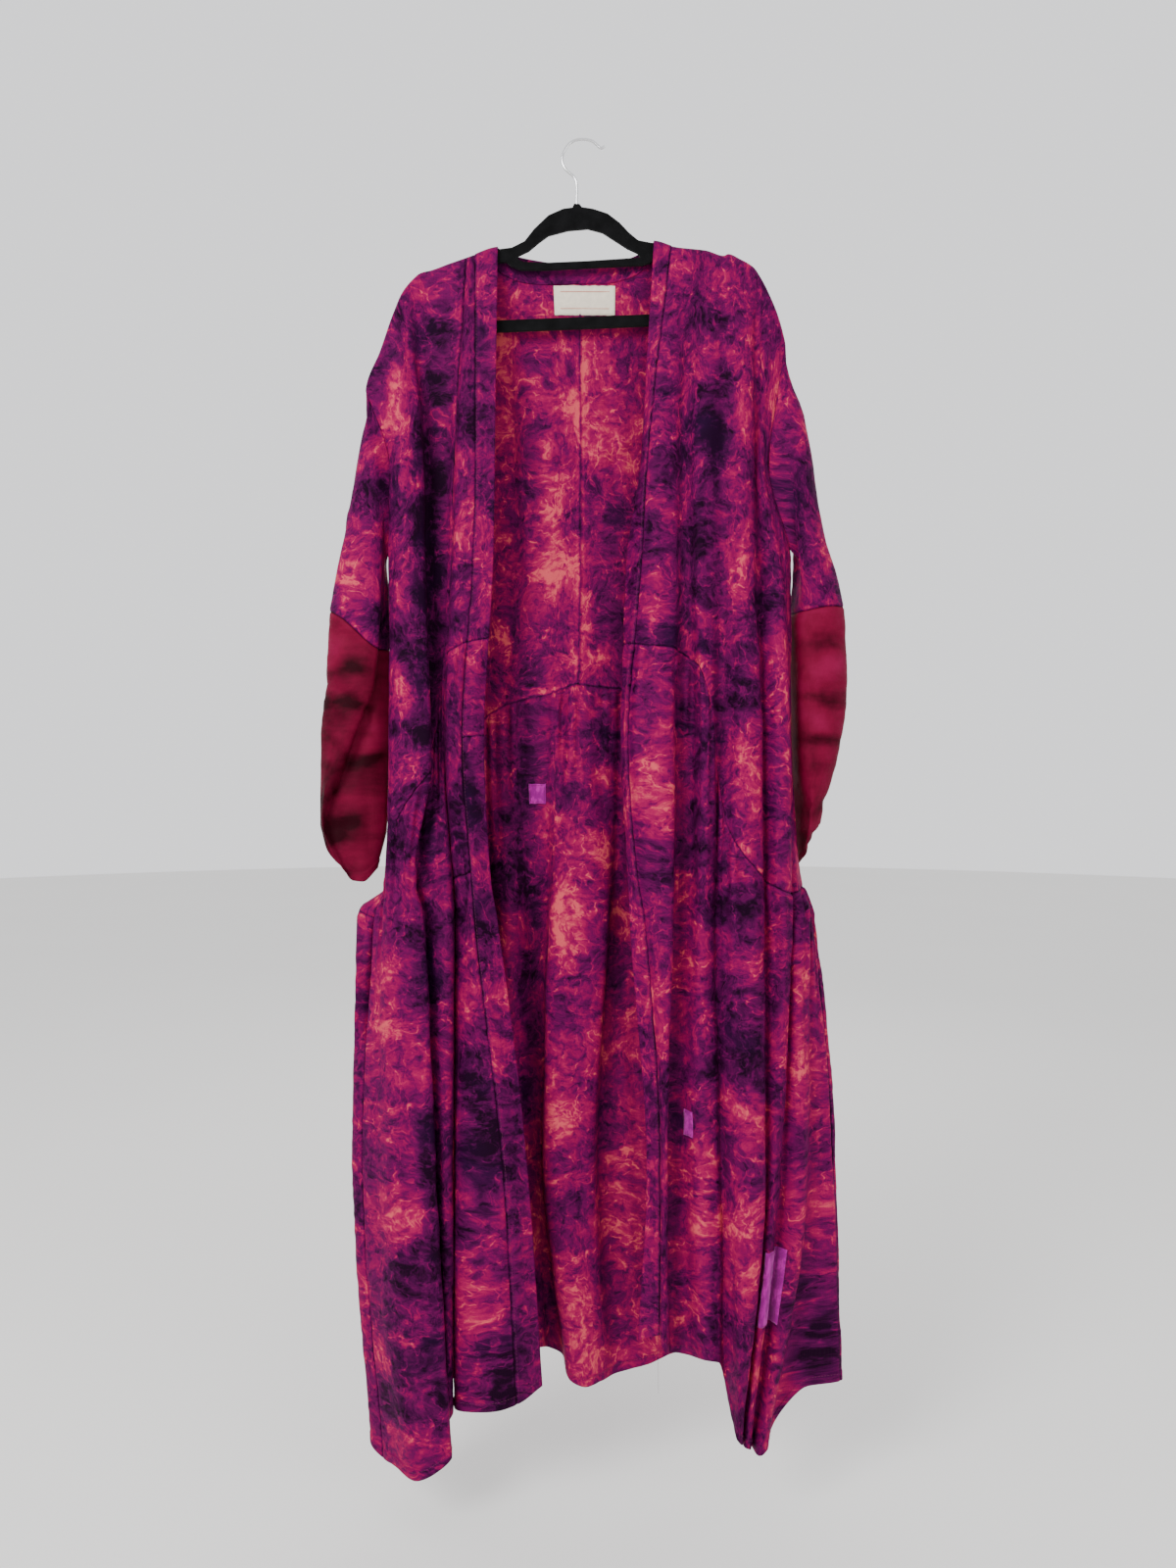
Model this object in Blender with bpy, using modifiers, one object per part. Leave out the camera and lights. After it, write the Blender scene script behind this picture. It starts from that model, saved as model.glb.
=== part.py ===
"""Long patchwork kimono coat on a flocked hanger, one solid for each cut piece.

Units are millimetres in the tables and metres in the meshes. X runs to the viewer's right,
Y away from the viewer, Z up. The origin is the underside of the hook's top.

Each half of the front, and the back, is one hanging sheet. A sheet is described by its folds:
a row for each crest or valley, with its place across (x) and in depth (y) at eight heights.
The cut pieces are ranges of those sheets, a hair apart at their seams.
"""

import math
from collections import namedtuple

import bmesh
import bpy
import numpy as np

MM = 0.001

# Driving sizes
CLOTH = 1.5                 # wall of one layer, its crinkle included
BAND_CLOTH = 2.2            # the opening bands are folded double
SEAM_GAP = 0.3
TURNED_GAP = 1.0            # where the two pieces meet at an angle, so that their faces stay apart
SHOULDER_ROLL = 6.0         # radius of the cloth over the hanger's arm
HANGER_THICKNESS = 4.6
HANGER_BEVEL = 1.6
HANGER_CLEARANCE = 1.9      # between the arm's top and the cloth's inside
WIRE = 3.4
GATHER_DEPTH = 2.6          # height of one gather under the waist seam
GATHER_REACH = 130.0        # how far down a gather fades out

# Heights below the hook where the fold tables are read
CHEST, UNDERARM, WAIST, FLARE, HIP, KNEE = 383.0, 492.0, 700.0, 866.0, 905.0, 1200.0
TOP_KNOT, HEM_KNOT = 150.0, 1500.0
KNOTS = np.array([TOP_KNOT, CHEST, UNDERARM, WAIST, FLARE, HIP, KNEE, HEM_KNOT])

Fold = namedtuple("Fold", "name x y seam hem top", defaults=(None,))
# x and y: at the shoulder, chest, underarm, waist, flare, hip, knee and hem
# seam and hem: how far below the hook; top: only where it isn't on the shoulder line

ShoulderPoint = namedtuple("ShoulderPoint", "x down")
SHOULDER = [ShoulderPoint(*row) for row in (
    (-251, 291), (-242, 266), (-234, 245), (-218, 200), (-208, 177), (-197, 163), (-186, 154),
    (-174, 151), (-152, 143), (-129, 135), (-96, 124), (86, 117), (112, 124), (147, 128),
    (168, 134), (173, 132), (187, 138), (202, 147), (213, 163), (222, 181), (230, 200),
    (237, 223), (240, 237))]

LEFT_FRONT = [
    Fold("side", (-251, -223, -224, -223, -224, -240, -256, -233), (-6, -8, -5, -6, -10, -16, -12, -14), 908, 1547),
    Fold("ridge_flank", (-234, -217, -218, -221, -225, -229, -237, -216), (-6, -20, -20, -22, -26, -30, -28, -30),
         850, 1546),
    Fold("ridge", (-218, -200, -201, -207, -213, -214, -212, -190), (-6, -38, -38, -40, -42, -46, -48, -52), 795, 1551),
    Fold("ridge_edge", (-207, -182, -180, -172, -190, -181, -166, -148), (-6, -32, -33, -42, -44, -48, -52, -52),
         740, 1525),
    Fold("valley", (-193, -181, -180, -176, -191, -181, -171, -162), (-6, -9, -9, -16, -24, -27, -30, -25), 722, 1514),
    Fold("second_ridge", (-177, -167, -167, -166, -166, -161, -157, -153), (-6, -8, -8, -16, -33, -38, -40, -34),
         676, 1492),
    Fold("second_edge", (-151, -153, -156, -162, -151, -148, -149, -149), (-6, -10, -10, -18, -33, -36, -36, -30),
         624, 1486),
    Fold("strip_seam", (-133, -147, -150, -158, -148, -146, -148, -149), (-6, -16, -16, -20, -20, -20, -21, -19),
         602, 1482),
    Fold("strip_flank", (-130, -141, -145, -153, -142, -132, -139, -141), (-6, -27, -28, -30, -28, -36, -36, -36),
         597, 1478),
    Fold("strip", (-126, -131, -135, -144, -132, -127, -113, -106), (-6, -30, -30, -32, -34, -42, -44, -44), 592, 1476),
    Fold("band_seam", (-122, -120, -123, -136, -124, -121, -88, -73), (-6, -30, -30, -32, -38, -42, -44, -42),
         587, 1468),
    Fold("opening", (-96, -98, -100, -111, -103, -96, -61, -44), (-6, -28, -28, -28, -30, -32, -34, -30), 583, 1452),
]

RIGHT_FRONT = [
    Fold("opening", (86, 70, 55, 48, 57, 58, 78, 68), (-6, -14, -4, -8, -20, -26, -28, -24), 587, 1401),
    Fold("band_seam", (106, 77, 71, 55, 67, 74, 92, 92), (-6, -26, -24, -24, -30, -34, -36, -36), 589, 1390),
    Fold("first_ridge", (117, 92, 88, 76, 85, 87, 96, 97), (-6, -32, -34, -40, -42, -42, -42, -40), 592, 1406),
    Fold("first_edge", (129, 108, 108, 104, 106, 105, 101, 102), (-6, -28, -30, -42, -44, -44, -40, -36), 594, 1412),
    Fold("first_valley", (138, 118, 118, 113, 111, 108, 100, 106), (-6, -20, -20, -20, -18, -18, -18, -16), 598, 1420),
    Fold("valley_floor", (142, 125, 127, 131, 129, 125, 119, 127), (-6, -21, -21, -22, -20, -20, -18, -18), 608, 1422),
    Fold("second_ridge", (149, 135, 136, 140, 138, 138, 137, 145), (-6, -28, -30, -43, -42, -40, -40, -38), 621, 1418),
    Fold("second_edge", (158, 149, 150, 150, 149, 149, 157, 161), (-6, -28, -28, -42, -40, -38, -38, -36), 661, 1422),
    Fold("slit", (168, 164, 165, 160, 158, 157, 165, 168), (-6, -22, -22, -27, -28, -30, -31, -30), 740, 1445),
    Fold("panel_flank", (179, 176, 176, 172, 167, 166, 173, 176), (-6, -25, -26, -34, -38, -42, -46, -46), 798, 1485),
    Fold("panel", (189, 188, 190, 187, 184, 183, 187, 180), (-6, -28, -30, -46, -50, -55, -56, -58), 828, 1500),
    Fold("panel_edge", (201, 197, 199, 207, 208, 208, 210, 185), (-6, -24, -26, -38, -44, -50, -52, -54), 854, 1508),
    Fold("panel_valley", (209, 204, 207, 211, 213, 213, 214, 187), (-6, -11, -11, -22, -26, -30, -34, -36), 863, 1514),
    Fold("third_ridge", (216, 208, 218, 227, 226, 229, 222, 191), (-6, -18, -20, -40, -44, -46, -46, -48), 870, 1515),
    Fold("third_edge", (223, 212, 229, 240, 241, 241, 231, 196), (-6, -18, -22, -36, -40, -42, -40, -44), 876, 1519),
    Fold("third_valley", (227, 215, 236, 243, 244, 243, 235, 200), (-6, -14, -15, -23, -26, -26, -26, -26), 878, 1524),
    Fold("side_ridge", (231, 217, 239, 244, 250, 253, 248, 207), (-6, -13, -14, -15, -26, -34, -36, -44), 876, 1526),
    Fold("side_edge", (234, 218, 241, 245, 254, 262, 261, 216), (-6, -12, -12, -12, -21, -30, -34, -40), 875, 1521),
    Fold("side_valley", (236, 219, 243, 246, 256, 267, 269, 227), (-6, -11, -10, -9, -15, -22, -18, -18), 874, 1502),
    Fold("side_flank", (238, 220, 245, 247, 258, 269, 286, 268), (-6, -10, -8, -7, -10, -15, -14, -14), 873, 1461),
    Fold("side", (240, 221, 247, 247, 259, 271, 299, 308), (-6, -8, -6, -5, -6, -8, -9, -9), 873, 1457),
]

BACK = [
    Fold("left_seam", (-251, -223, -224, -223, -224, -240, -256, -233), (6, -8, -5, -6, -10, -16, -12, -14), 908, 1547),
    Fold("left_turn", (-244, -217, -223, -222, -224, -262, -270, -250), (6, 15, 5, 3, 4, -2, 0, 0), 900, 1533),
    Fold("left_back", (-235, -200, -212, -212, -216, -252, -255, -231), (6, 20, 14, 11, 18, 24, 26, 26), 870, 1510),
    Fold("wave_1", (-216, -175, -180, -182, -200, -221, -214, -192), (6, 22, 22, 22, 32, 40, 42, 40), 820, 1488),
    Fold("wave_2", (-186, -145, -148, -150, -160, -169, -162, -145), (6, 24, 26, 32, 30, 28, 28, 26), 735, 1470),
    Fold("wave_3", (-140, -122, -123, -125, -130, -133, -126, -102), (6, 26, 28, 36, 40, 42, 44, 42), 690, 1450),
    Fold("neck_left", (-122, -109, -108, -114, -108, -104, -103, -70), (6, 27, 29, 35, 28, 24, 24, 26), 672, 1436),
    Fold("neck_corner_left", (-112, -99, -98, -102, -94, -90, -92, -57), (7, 27, 29, 33, 20, 12, 12, 14),
         664, 1430, 130),
    Fold("inner_ridge", (-91, -82, -83, -87, -81, -78, -83, -47), (8, 27, 28, 32, 21, 15, 15, 18), 656, 1431, 152),
    Fold("dark_valley", (-66, -61, -63, -67, -63, -61, -56, -38), (10, 26, 26, 30, 35, 38, 40, 36), 650, 1440, 161),
    Fold("valley_rise", (-43, -35, -38, -42, -40, -41, -46, -22), (10, 24, 24, 26, 31, 36, 36, 34), 645, 1447, 163),
    Fold("pleat_left", (-22, -16, -18, -22, -28, -34, -41, -14), (10, 24, 22, 22, 12, 8, 6, 4), 638, 1462, 163),
    Fold("centre", (0, 0, 0, -3, -4, -5, -10, 7), (10, 23, 20, 16, 8, 4, 0, 0), 633, 1470, 162),
    Fold("pleat_right", (27, 22, 23, 25, 29, 31, 15, 26), (10, 24, 22, 22, 14, 10, 8, 8), 636, 1467, 162),
    Fold("right_valley", (46, 45, 47, 48, 43, 38, 25, 45), (10, 25, 24, 28, 30, 30, 30, 26), 638, 1466, 159),
    Fold("right_rise", (67, 69, 72, 74, 68, 64, 61, 82), (8, 27, 28, 34, 35, 36, 34, 30), 642, 1458, 152),
    Fold("neck_corner_right", (97, 94, 96, 98, 96, 97, 106, 110), (7, 28, 30, 34, 28, 25, 24, 24), 652, 1442, 120.5),
    Fold("neck_right", (106, 107, 109, 111, 113, 116, 128, 132), (6, 28, 30, 34, 28, 25, 25, 25), 664, 1437),
    Fold("wave_4", (119, 134, 135, 139, 148, 155, 174, 178), (6, 27, 28, 32, 37, 40, 40, 38), 700, 1438),
    Fold("wave_5", (159, 165, 170, 178, 192, 200, 228, 236), (6, 24, 24, 22, 24, 26, 26, 24), 790, 1450),
    Fold("wave_6", (203, 195, 212, 215, 228, 240, 268, 278), (6, 18, 17, 15, 24, 32, 32, 28), 845, 1452),
    Fold("right_back", (230, 212, 235, 237, 251, 267, 294, 304), (6, 15, 12, 11, 13, 16, 16, 14), 868, 1455),
    Fold("right_turn", (237, 218, 247, 248, 261, 275, 303, 309), (6, 13, 3, 3, 3, 2, 2, 1), 872, 1456),
    Fold("right_seam", (240, 221, 247, 247, 259, 271, 299, 308), (6, -8, -6, -5, -6, -8, -9, -9), 873, 1457),
]

# Where the back sheet's outer fold parts from the front's: between two depths, by a gap
Parting = namedtuple("Parting", "fold start end gap")
ARMHOLE_END = 470.0
ARMHOLE_GAP = 18.0
POCKET_START, POCKET_END, POCKET_GAP = 945.0, 1070.0, 14.0

# Sleeves: knots run from the armhole to the cuff; the armhole and cuff edges aren't level
SLEEVE_KNOTS = np.array([290.0, 337.0, 452.0, 567.0, 636.0, 705.0, 798.0, 870.0])
# x and y at those knots; seam: the joint of upper and lower sleeve; hem: the cuff

LEFT_SLEEVE = [
    Fold("outer", (-251, -256, -275, -296, -299, -305, -305, -301), (0, 0, 0, 0, 0, 0, 0, 0), 549, 817),
    Fold("front_outer", (-243, -248, -264, -280, -285, -295, -303, -294), (-7, -12, -15, -17, -17, -15, -9, -8), 557, 832),
    Fold("crest", (-225, -237, -241, -245, -252, -277, -301, -285), (-8, -14, -18, -20, -22, -23, -14, -10), 586, 844),
    Fold("fold_edge", (-224, -231, -232, -234, -240, -267, -298, -276), (-8, -12, -15, -16, -17, -18, -11, -10), 593, 854),
    Fold("under", (-224, -229, -230, -235, -244, -267, -291, -267), (-8, -10, -9, -8, -6, -5, -5, -8), 594, 865),
    Fold("second_layer", (-224, -229, -229, -232, -236, -245, -259, -254), (-7, -6, -5, -3, -3, -5, -9, -10), 594, 866),
    Fold("inner", (-224, -229, -229, -229, -229, -230, -233, -242), (-4, 1, 4, 6, 8, 9, 4, 0), 594, 850),
    Fold("back_inner", (-224, -230, -234, -242, -246, -248, -250, -255), (10, 11, 14, 16, 17, 18, 14, 8), 572, 860),
    Fold("back_outer", (-236, -246, -259, -278, -284, -288, -288, -283), (10, 13, 17, 18, 18, 17, 12, 7), 555, 843),
]
LEFT_INNER = 6              # the fold that starts at the underarm

RIGHT_SLEEVE = [
    Fold("outer", (240, 257, 281, 312, 314, 306, 283, 275), (0, 0, 0, 0, 0, 0, 0, 0), 544, 809),
    Fold("front_outer", (236, 252, 272, 297, 298, 291, 274, 269), (-7, -11, -14, -16, -17, -17, -12, -8), 544, 817),
    Fold("front", (224, 244, 261, 280, 279, 276, 268, 264), (-8, -13, -17, -19, -20, -20, -15, -10), 546, 825),
    Fold("front_inner", (224, 247, 256, 266, 264, 264, 269, 267), (-8, -12, -15, -17, -18, -18, -12, -6), 549, 830),
    Fold("corner", (236, 259, 258, 257, 256, 257, 266, 267), (-6, -7, -8, -12, -12, -12, -6, 0), 550, 834),
    Fold("inner", (246, 262, 258, 254, 254, 255, 265, 267), (-2, 2, 6, 9, 12, 15, 12, 11), 551, 844),
    Fold("back_inner", (232, 254, 257, 256, 252, 250, 260, 264), (10, 13, 16, 21, 25, 28, 30, 31), 551, 855),
    Fold("back_outer", (230, 253, 272, 294, 293, 286, 272, 268), (10, 13, 17, 20, 24, 28, 28, 24), 546, 832),
]
RIGHT_INNER = 5
ARMHOLE_SEPARATION = 2.6    # the sleeve's edge meets the body's at an angle, so it stands off

# Free edge of the neck band, one row for each fold of the back from neck_left to neck_right
NeckPoint = namedtuple("NeckPoint", "x y down")
NECK_EDGE = [NeckPoint(*row) for row in (
    (-96, 0, 124), (-93, 6, 125.5), (-86, 8, 127.5), (-72, 10, 131), (-50, 11, 135), (-20, 12, 138.5),
    (10, 12, 139), (40, 11.5, 136), (62, 10, 131), (76, 8, 124), (84, 6, 118.5), (86, 0, 117))]

# Rows of faces down the pieces, as shares of their length
BODICE_SHARES = (0, 0.05, 0.13, 0.23, 0.35, 0.49, 0.64, 0.79, 0.92, 1)
JOINT_SHARES = (0.0, 0.105, 0.209, 0.313, 0.418, 0.6, 0.8, 1.0)    # 0.418: the left band's cross seam
BAND_ROW = 4                # the row that this seam lies on
STRIP_DROP = 0.29           # the left strip's cross seam, as a share of the skirt
HEM_SHARES = np.linspace(0, 1, 8)
UPPER_SHARES = np.linspace(0, 1, 7) ** 1.3
LOWER_SHARES = np.linspace(0, 1, 8)

# Label and mends: from a share past one fold to a share past another, and between two depths
Mend = namedtuple("Mend", "name start end top bottom")
LABEL = Mend("label", ("valley_rise", 0.55), ("pleat_right", 0.75), 164.5, 198.0)
BACK_PATCH = Mend("patch_back", ("dark_valley", 0.2), ("valley_rise", 0.0), 752.0, 776.0)
SIDE_PATCH = Mend("patch_front", ("panel_valley", 0.75), ("third_valley", 0.9), 1290.0, 1376.0)
SMALL_PATCH = Mend("patch_small", ("valley_floor", 0.2), ("valley_floor", 0.7), 1130.0, 1160.0)
PATCH_CLOTH, LABEL_CLOTH, PATCH_LIFT = 1.0, 0.8, 0.85

# Hanger: half widths follow the shoulder line, the rest is its own outline (x, down)
ARM_HEIGHT = 13.5
HUMP = [(-96, 126.5), (-80, 124.5), (-65, 117), (-54, 103), (-37, 87), (-20, 79.5), (-9, 78), (-7, 73.7),
        (-1, 73.7), (2, 77.5), (15, 79.5), (32, 85), (46, 95.5), (57, 107), (68, 116), (86, 119.5)]
LEFT_TIP = [(-200, 172), (-206, 181), (-209, 192), (-208, 204), (-203, 215), (-195, 222), (-185, 225.6)]
RIGHT_TIP = [(200, 210.3), (210, 207), (216, 200), (218, 190), (215, 177), (209, 166)]
LOWER_BAR = ((-185, 225.6), (200, 210.3))
BAR_HEIGHT = 13.0
D_OPENING = [(-73, 134), (-60, 128), (-48, 118), (-37, 110), (-14, 104), (9, 102), (26, 106.5), (41, 116),
             (55, 125), (67, 130.5), (71, 136), (9, 140), (-37, 142), (-66, 141), (-72, 138.5)]
D_BAR_UNDER = [(82, 142), (72, 144.5), (9, 148), (-42, 150), (-69, 150), (-80, 146), (-86, 141)]
LEFT_NOOK = [(-186, 180), (-194, 190), (-196, 202), (-188, 212)]
RIGHT_NOOK = [(199, 197), (205, 190), (204, 180), (196, 166)]
HOOK = [(28.5, -6.5), (24.5, -8.5), (20, -5), (14.5, -0.6), (8, 1.3), (2, 1.7), (-4, 1), (-9.5, -1.2), (-14, -5),
        (-17.5, -10), (-20.3, -16), (-20.8, -21.5), (-20, -27), (-17, -32.5), (-12, -37.5), (-7.5, -41.5),
        (-4.8, -46), (-3.8, -52), (-3.8, -60), (-4, -73.4)]

# Cloth and hanger colours
MAGENTA = (0.36, 0.03, 0.17)
CRIMSON = (0.30, 0.01, 0.06)
VIOLET = (0.30, 0.03, 0.62)
CREAM = (0.80, 0.76, 0.66)
BLACK = (0.012, 0.012, 0.014)
STEEL = (0.62, 0.63, 0.65)


def start_empty():
    """Remove whatever the open file holds."""
    for old in list(bpy.data.objects):
        bpy.data.objects.remove(old, do_unlink=True)


def collection(name):
    group = bpy.data.collections.new(name)
    bpy.context.scene.collection.children.link(group)
    return group


def material(name, colour, roughness, metallic=0.0):
    mat = bpy.data.materials.new(name)
    mat.use_nodes = True
    shader = mat.node_tree.nodes["Principled BSDF"]
    shader.inputs["Base Color"].default_value = (*colour, 1.0)
    shader.inputs["Roughness"].default_value = roughness
    shader.inputs["Metallic"].default_value = metallic
    return mat


def slopes(knots, values):
    """End slopes of a curve through the values that never overshoots them (rows of values)."""
    step = np.diff(knots)
    rise = np.diff(values, axis=-1) / step
    inner = np.zeros_like(values[..., 1:-1])
    same = rise[..., :-1] * rise[..., 1:] > 0
    total = np.where(same, rise[..., :-1] + rise[..., 1:], 1.0)
    inner[same] = (2 * rise[..., :-1] * rise[..., 1:] / total)[same]
    return np.concatenate([rise[..., :1], inner, rise[..., -1:]], axis=-1)


def read_curve(knots, values, at):
    """Read rows of values, given at the knots, at each of the places."""
    knots = np.asarray(knots, float)
    values = np.asarray(values, float)
    slope = slopes(knots, values)
    at = np.clip(at, knots[0], knots[-1])
    i = np.clip(np.searchsorted(knots, at, side="right") - 1, 0, len(knots) - 2)
    step = knots[i + 1] - knots[i]
    t = (at - knots[i]) / step
    a, b = values[..., i], values[..., i + 1]
    da, db = slope[..., i] * step, slope[..., i + 1] * step
    return (a * (1 + 2 * t) * (1 - t) ** 2 + da * t * (1 - t) ** 2
            + b * t * t * (3 - 2 * t) - db * t * t * (1 - t))


def across(rows, places, closed=False, ends=(None, None)):
    """Rounded curve through the folds of each height: rows is (folds, points, axes).

    ends are the next sheet's folds past a sewn edge, so that both sides meet in one curve.
    """
    count = rows.shape[0]
    if closed:
        before, after = np.roll(rows, 1, axis=0), np.roll(rows, -1, axis=0)
    else:
        first = 2 * rows[0] - rows[1] if ends[0] is None else ends[0]
        last = 2 * rows[-1] - rows[-2] if ends[1] is None else ends[1]
        before = np.concatenate([first[None], rows[:-1]])
        after = np.concatenate([rows[1:], last[None]])
    out, back = np.linalg.norm(after - rows, axis=2), np.linalg.norm(rows - before, axis=2)
    reach = np.minimum((out + back) / 2, 1.3 * np.minimum(out, back))
    tangent = (unit(after - rows) + unit(rows - before)) / 2 * reach[..., None]
    if closed:
        i = np.floor(places).astype(int) % count
        j = (i + 1) % count
        t = (places - np.floor(places))[:, None]
    else:
        i = np.clip(np.floor(places).astype(int), 0, count - 2)
        j = i + 1
        t = (places - i)[:, None]
    point = np.arange(len(places))
    a, b, da, db = rows[i, point], rows[j, point], tangent[i, point], tangent[j, point]
    return (a * (1 + 2 * t) * (1 - t) ** 2 + da * t * (1 - t) ** 2
            + b * t * t * (3 - 2 * t) - db * t * t * (1 - t))


def unit(vectors):
    return vectors / np.maximum(np.linalg.norm(vectors, axis=-1, keepdims=True), 1e-12)


def along(values, places):
    """Smooth value between the folds, from one number for each fold."""
    return read_curve(np.arange(len(values)), np.array(values, float), places)


def shoulder_down(x):
    """How far below the hook the cloth's top edge lies at x."""
    return read_curve([p.x for p in SHOULDER], [p.down for p in SHOULDER], x)


class Sheet:
    """One hanging sheet, read at a place across (in folds) and a height (on the knots)."""

    def __init__(self, folds, facing, rolled, partings=(), beyond=(None, None)):
        self.folds = folds
        self.beyond = beyond          # the neighbour's fold past each outer edge
        self.facing = facing          # -1 where its outside faces the viewer, +1 at the back
        self.rolled = rolled          # how much of the shoulder roll each fold has, 0 to 1
        self.partings = partings      # where an outer fold opens away from the front sheet
        self.x = np.array([f.x for f in folds], float)
        self.y = np.array([f.y for f in folds], float)

    def place(self, name):
        return [f.name for f in self.folds].index(name)

    def top(self, s):
        line = shoulder_down(along(self.x[:, 0], s))
        own = np.array([f.top or shoulder_down(np.array([f.x[0]]))[0] for f in self.folds])
        off_line = np.array([0.0 if f.top is None else 1.0 for f in self.folds])
        weight = np.interp(s, np.arange(len(own)), off_line)
        return np.where(weight > 0, along(own, s), line)

    def down(self, s, h):
        top, hem = self.top(s), along([f.hem for f in self.folds], s)
        upper = top + (h - TOP_KNOT) / (CHEST - TOP_KNOT) * (CHEST - top)
        lower = KNEE + (h - KNEE) / (HEM_KNOT - KNEE) * (hem - KNEE)
        return np.where(h < CHEST, upper, np.where(h > KNEE, lower, h))

    def seam(self, s):
        return along([f.seam for f in self.folds], s)

    def points(self, s, h):
        """World points in millimetres."""
        s, h = np.broadcast_arrays(np.asarray(s, float), np.asarray(h, float))
        shape, s, h = s.shape, s.ravel(), h.ravel()
        rows = np.stack([read_curve(KNOTS, self.x, h), read_curve(KNOTS, self.y, h)], axis=2)
        down = self.down(s, h)
        for part in self.partings:
            start = self.top(np.full_like(s, part.fold)) if part.start is None else part.start
            reach = np.clip((down - start) / (part.end - start), 0, 1)
            rows[part.fold, :, 1] += part.gap * np.sin(math.pi * reach) ** 0.8
        ends = [None if fold is None else np.stack([read_curve(KNOTS, fold.x, h), read_curve(KNOTS, fold.y, h)],
                                                   axis=1) for fold in self.beyond]
        plan = across(rows, s, ends=ends)
        x, y = plan[:, 0], plan[:, 1]
        radius = SHOULDER_ROLL * np.interp(s, np.arange(len(self.folds)), self.rolled)
        depth = np.clip(down - self.top(s), 0, radius)
        roll = radius - np.sqrt(np.maximum(radius ** 2 - (radius - depth) ** 2, 0))
        y = y - self.facing * roll
        i = np.clip(np.floor(s).astype(int), 0, len(self.folds) - 2)
        near = np.arange(len(s))
        spans = np.linalg.norm(np.diff(rows, axis=0), axis=2)
        narrow = np.minimum(np.concatenate([spans[:1], spans]), np.concatenate([spans, spans[-1:]]))
        width = narrow[i, near] + (s - i) * (narrow[i + 1, near] - narrow[i, near])
        y = y + self.gathers(s, down) * np.clip(width / 14.0, 0, 1)
        return np.stack([x, y, -down], axis=1).reshape(*shape, 3)

    def gathers(self, s, down):
        """Small waves under the waist seam, one for each fold, fading downwards."""
        below = down - self.seam(s)
        swell = np.clip(below / 18.0, 0, 1) * np.exp(-np.clip(below, 0, None) / GATHER_REACH)
        return GATHER_DEPTH * swell * np.cos(2 * math.pi * s)

    def knot(self, s, down):
        """Height on the knots of a place at a depth below the hook."""
        top = self.top(s)
        return np.where(down < CHEST, TOP_KNOT + (down - top) / (CHEST - top) * (CHEST - TOP_KNOT),
                        np.where(down > KNEE, KNEE + (down - KNEE) * (HEM_KNOT - KNEE)
                                 / (along([f.hem for f in self.folds], s) - KNEE), down))

    def normals(self, s, h, points):
        """Outward direction of the sheet, halfway between the faces on each side of a point."""
        ds, dh = 0.02, 0.6
        last = len(self.folds) - 1
        low, high = np.clip(s - ds, 0, last), np.clip(s + ds, 0, last)
        up, dn = np.clip(h - dh, TOP_KNOT, HEM_KNOT), np.clip(h + dh, TOP_KNOT, HEM_KNOT)
        side = self.points(high, h) - self.points(low, h)
        step = unit(np.diff(points, axis=1))
        side[:, 1:-1] = step[:, 1:] + step[:, :-1]
        fall = self.points(s, dn) - self.points(s, up)
        n = np.cross(side, fall)
        n = unit(n)
        flip = np.where(np.median(n[..., 1]) * self.facing < 0, -1.0, 1.0)
        return n * flip


def pull_in(points, sides):
    """Draw the named sides of a grid of points in along the grid, each by half its gap."""
    out = points.copy()
    edges = {"left": ((slice(None), 0), (slice(None), 1)),
             "right": ((slice(None), -1), (slice(None), -2)),
             "top": ((0, slice(None)), (1, slice(None))),
             "bottom": ((-1, slice(None)), (-2, slice(None)))}
    for side, gap in sides.items():
        edge, inner = edges[side]
        way = points[inner] - points[edge]
        out[edge] += unit(way) * gap / 2
    return out


def link_mesh(name, verts, faces, mat, group):
    mesh = bpy.data.meshes.new(name)
    mesh.from_pydata([tuple(v) for v in verts], [], faces)
    mesh.validate()
    bm = bmesh.new()
    bm.from_mesh(mesh)
    bmesh.ops.recalc_face_normals(bm, faces=bm.faces)
    bm.to_mesh(mesh)
    bm.free()
    mesh.materials.append(mat)
    mesh.shade_smooth()
    mesh.set_sharp_from_angle(angle=math.radians(50))
    obj = bpy.data.objects.new(name, mesh)
    group.objects.link(obj)
    return obj


def wall(name, points, normals, thickness, mat, group, closed=False):
    """Closed cloth wall around a grid of points: rows run down, columns across."""
    rows, columns = points.shape[:2]
    half = normals * thickness / 2
    verts = np.concatenate([(points + half).reshape(-1, 3), (points - half).reshape(-1, 3)]) * MM
    layer = rows * columns
    spans = columns if closed else columns - 1
    faces = []
    for r in range(rows - 1):
        for c in range(spans):
            d = (c + 1) % columns
            a, b, e, f = r * columns + c, r * columns + d, (r + 1) * columns + d, (r + 1) * columns + c
            for i, j, k in ((a, b, e), (a, e, f)):      # both layers are split along one diagonal
                faces.append((i, j, k))
                faces.append((layer + k, layer + j, layer + i))
    rims = [[r0 * columns + c % columns for c in range(spans + 1)] for r0 in (0, rows - 1)]
    if not closed:
        rims += [[r * columns + c0 for r in range(rows)] for c0 in (0, columns - 1)]
    for rim in rims:
        for a, b in zip(rim[:-1], rim[1:]):
            faces.append((a, b, layer + b, layer + a))
    return link_mesh(name, verts, faces, mat, group)


def level(value):
    """A height that is the same all the way across."""
    return lambda s: np.full_like(s, value)


def between(top, bottom, shares):
    """Rows of heights from one line to another, at the given shares of the way."""
    return lambda s: top(s) + np.array(shares)[:, None] * (bottom(s) - top(s))


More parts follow.
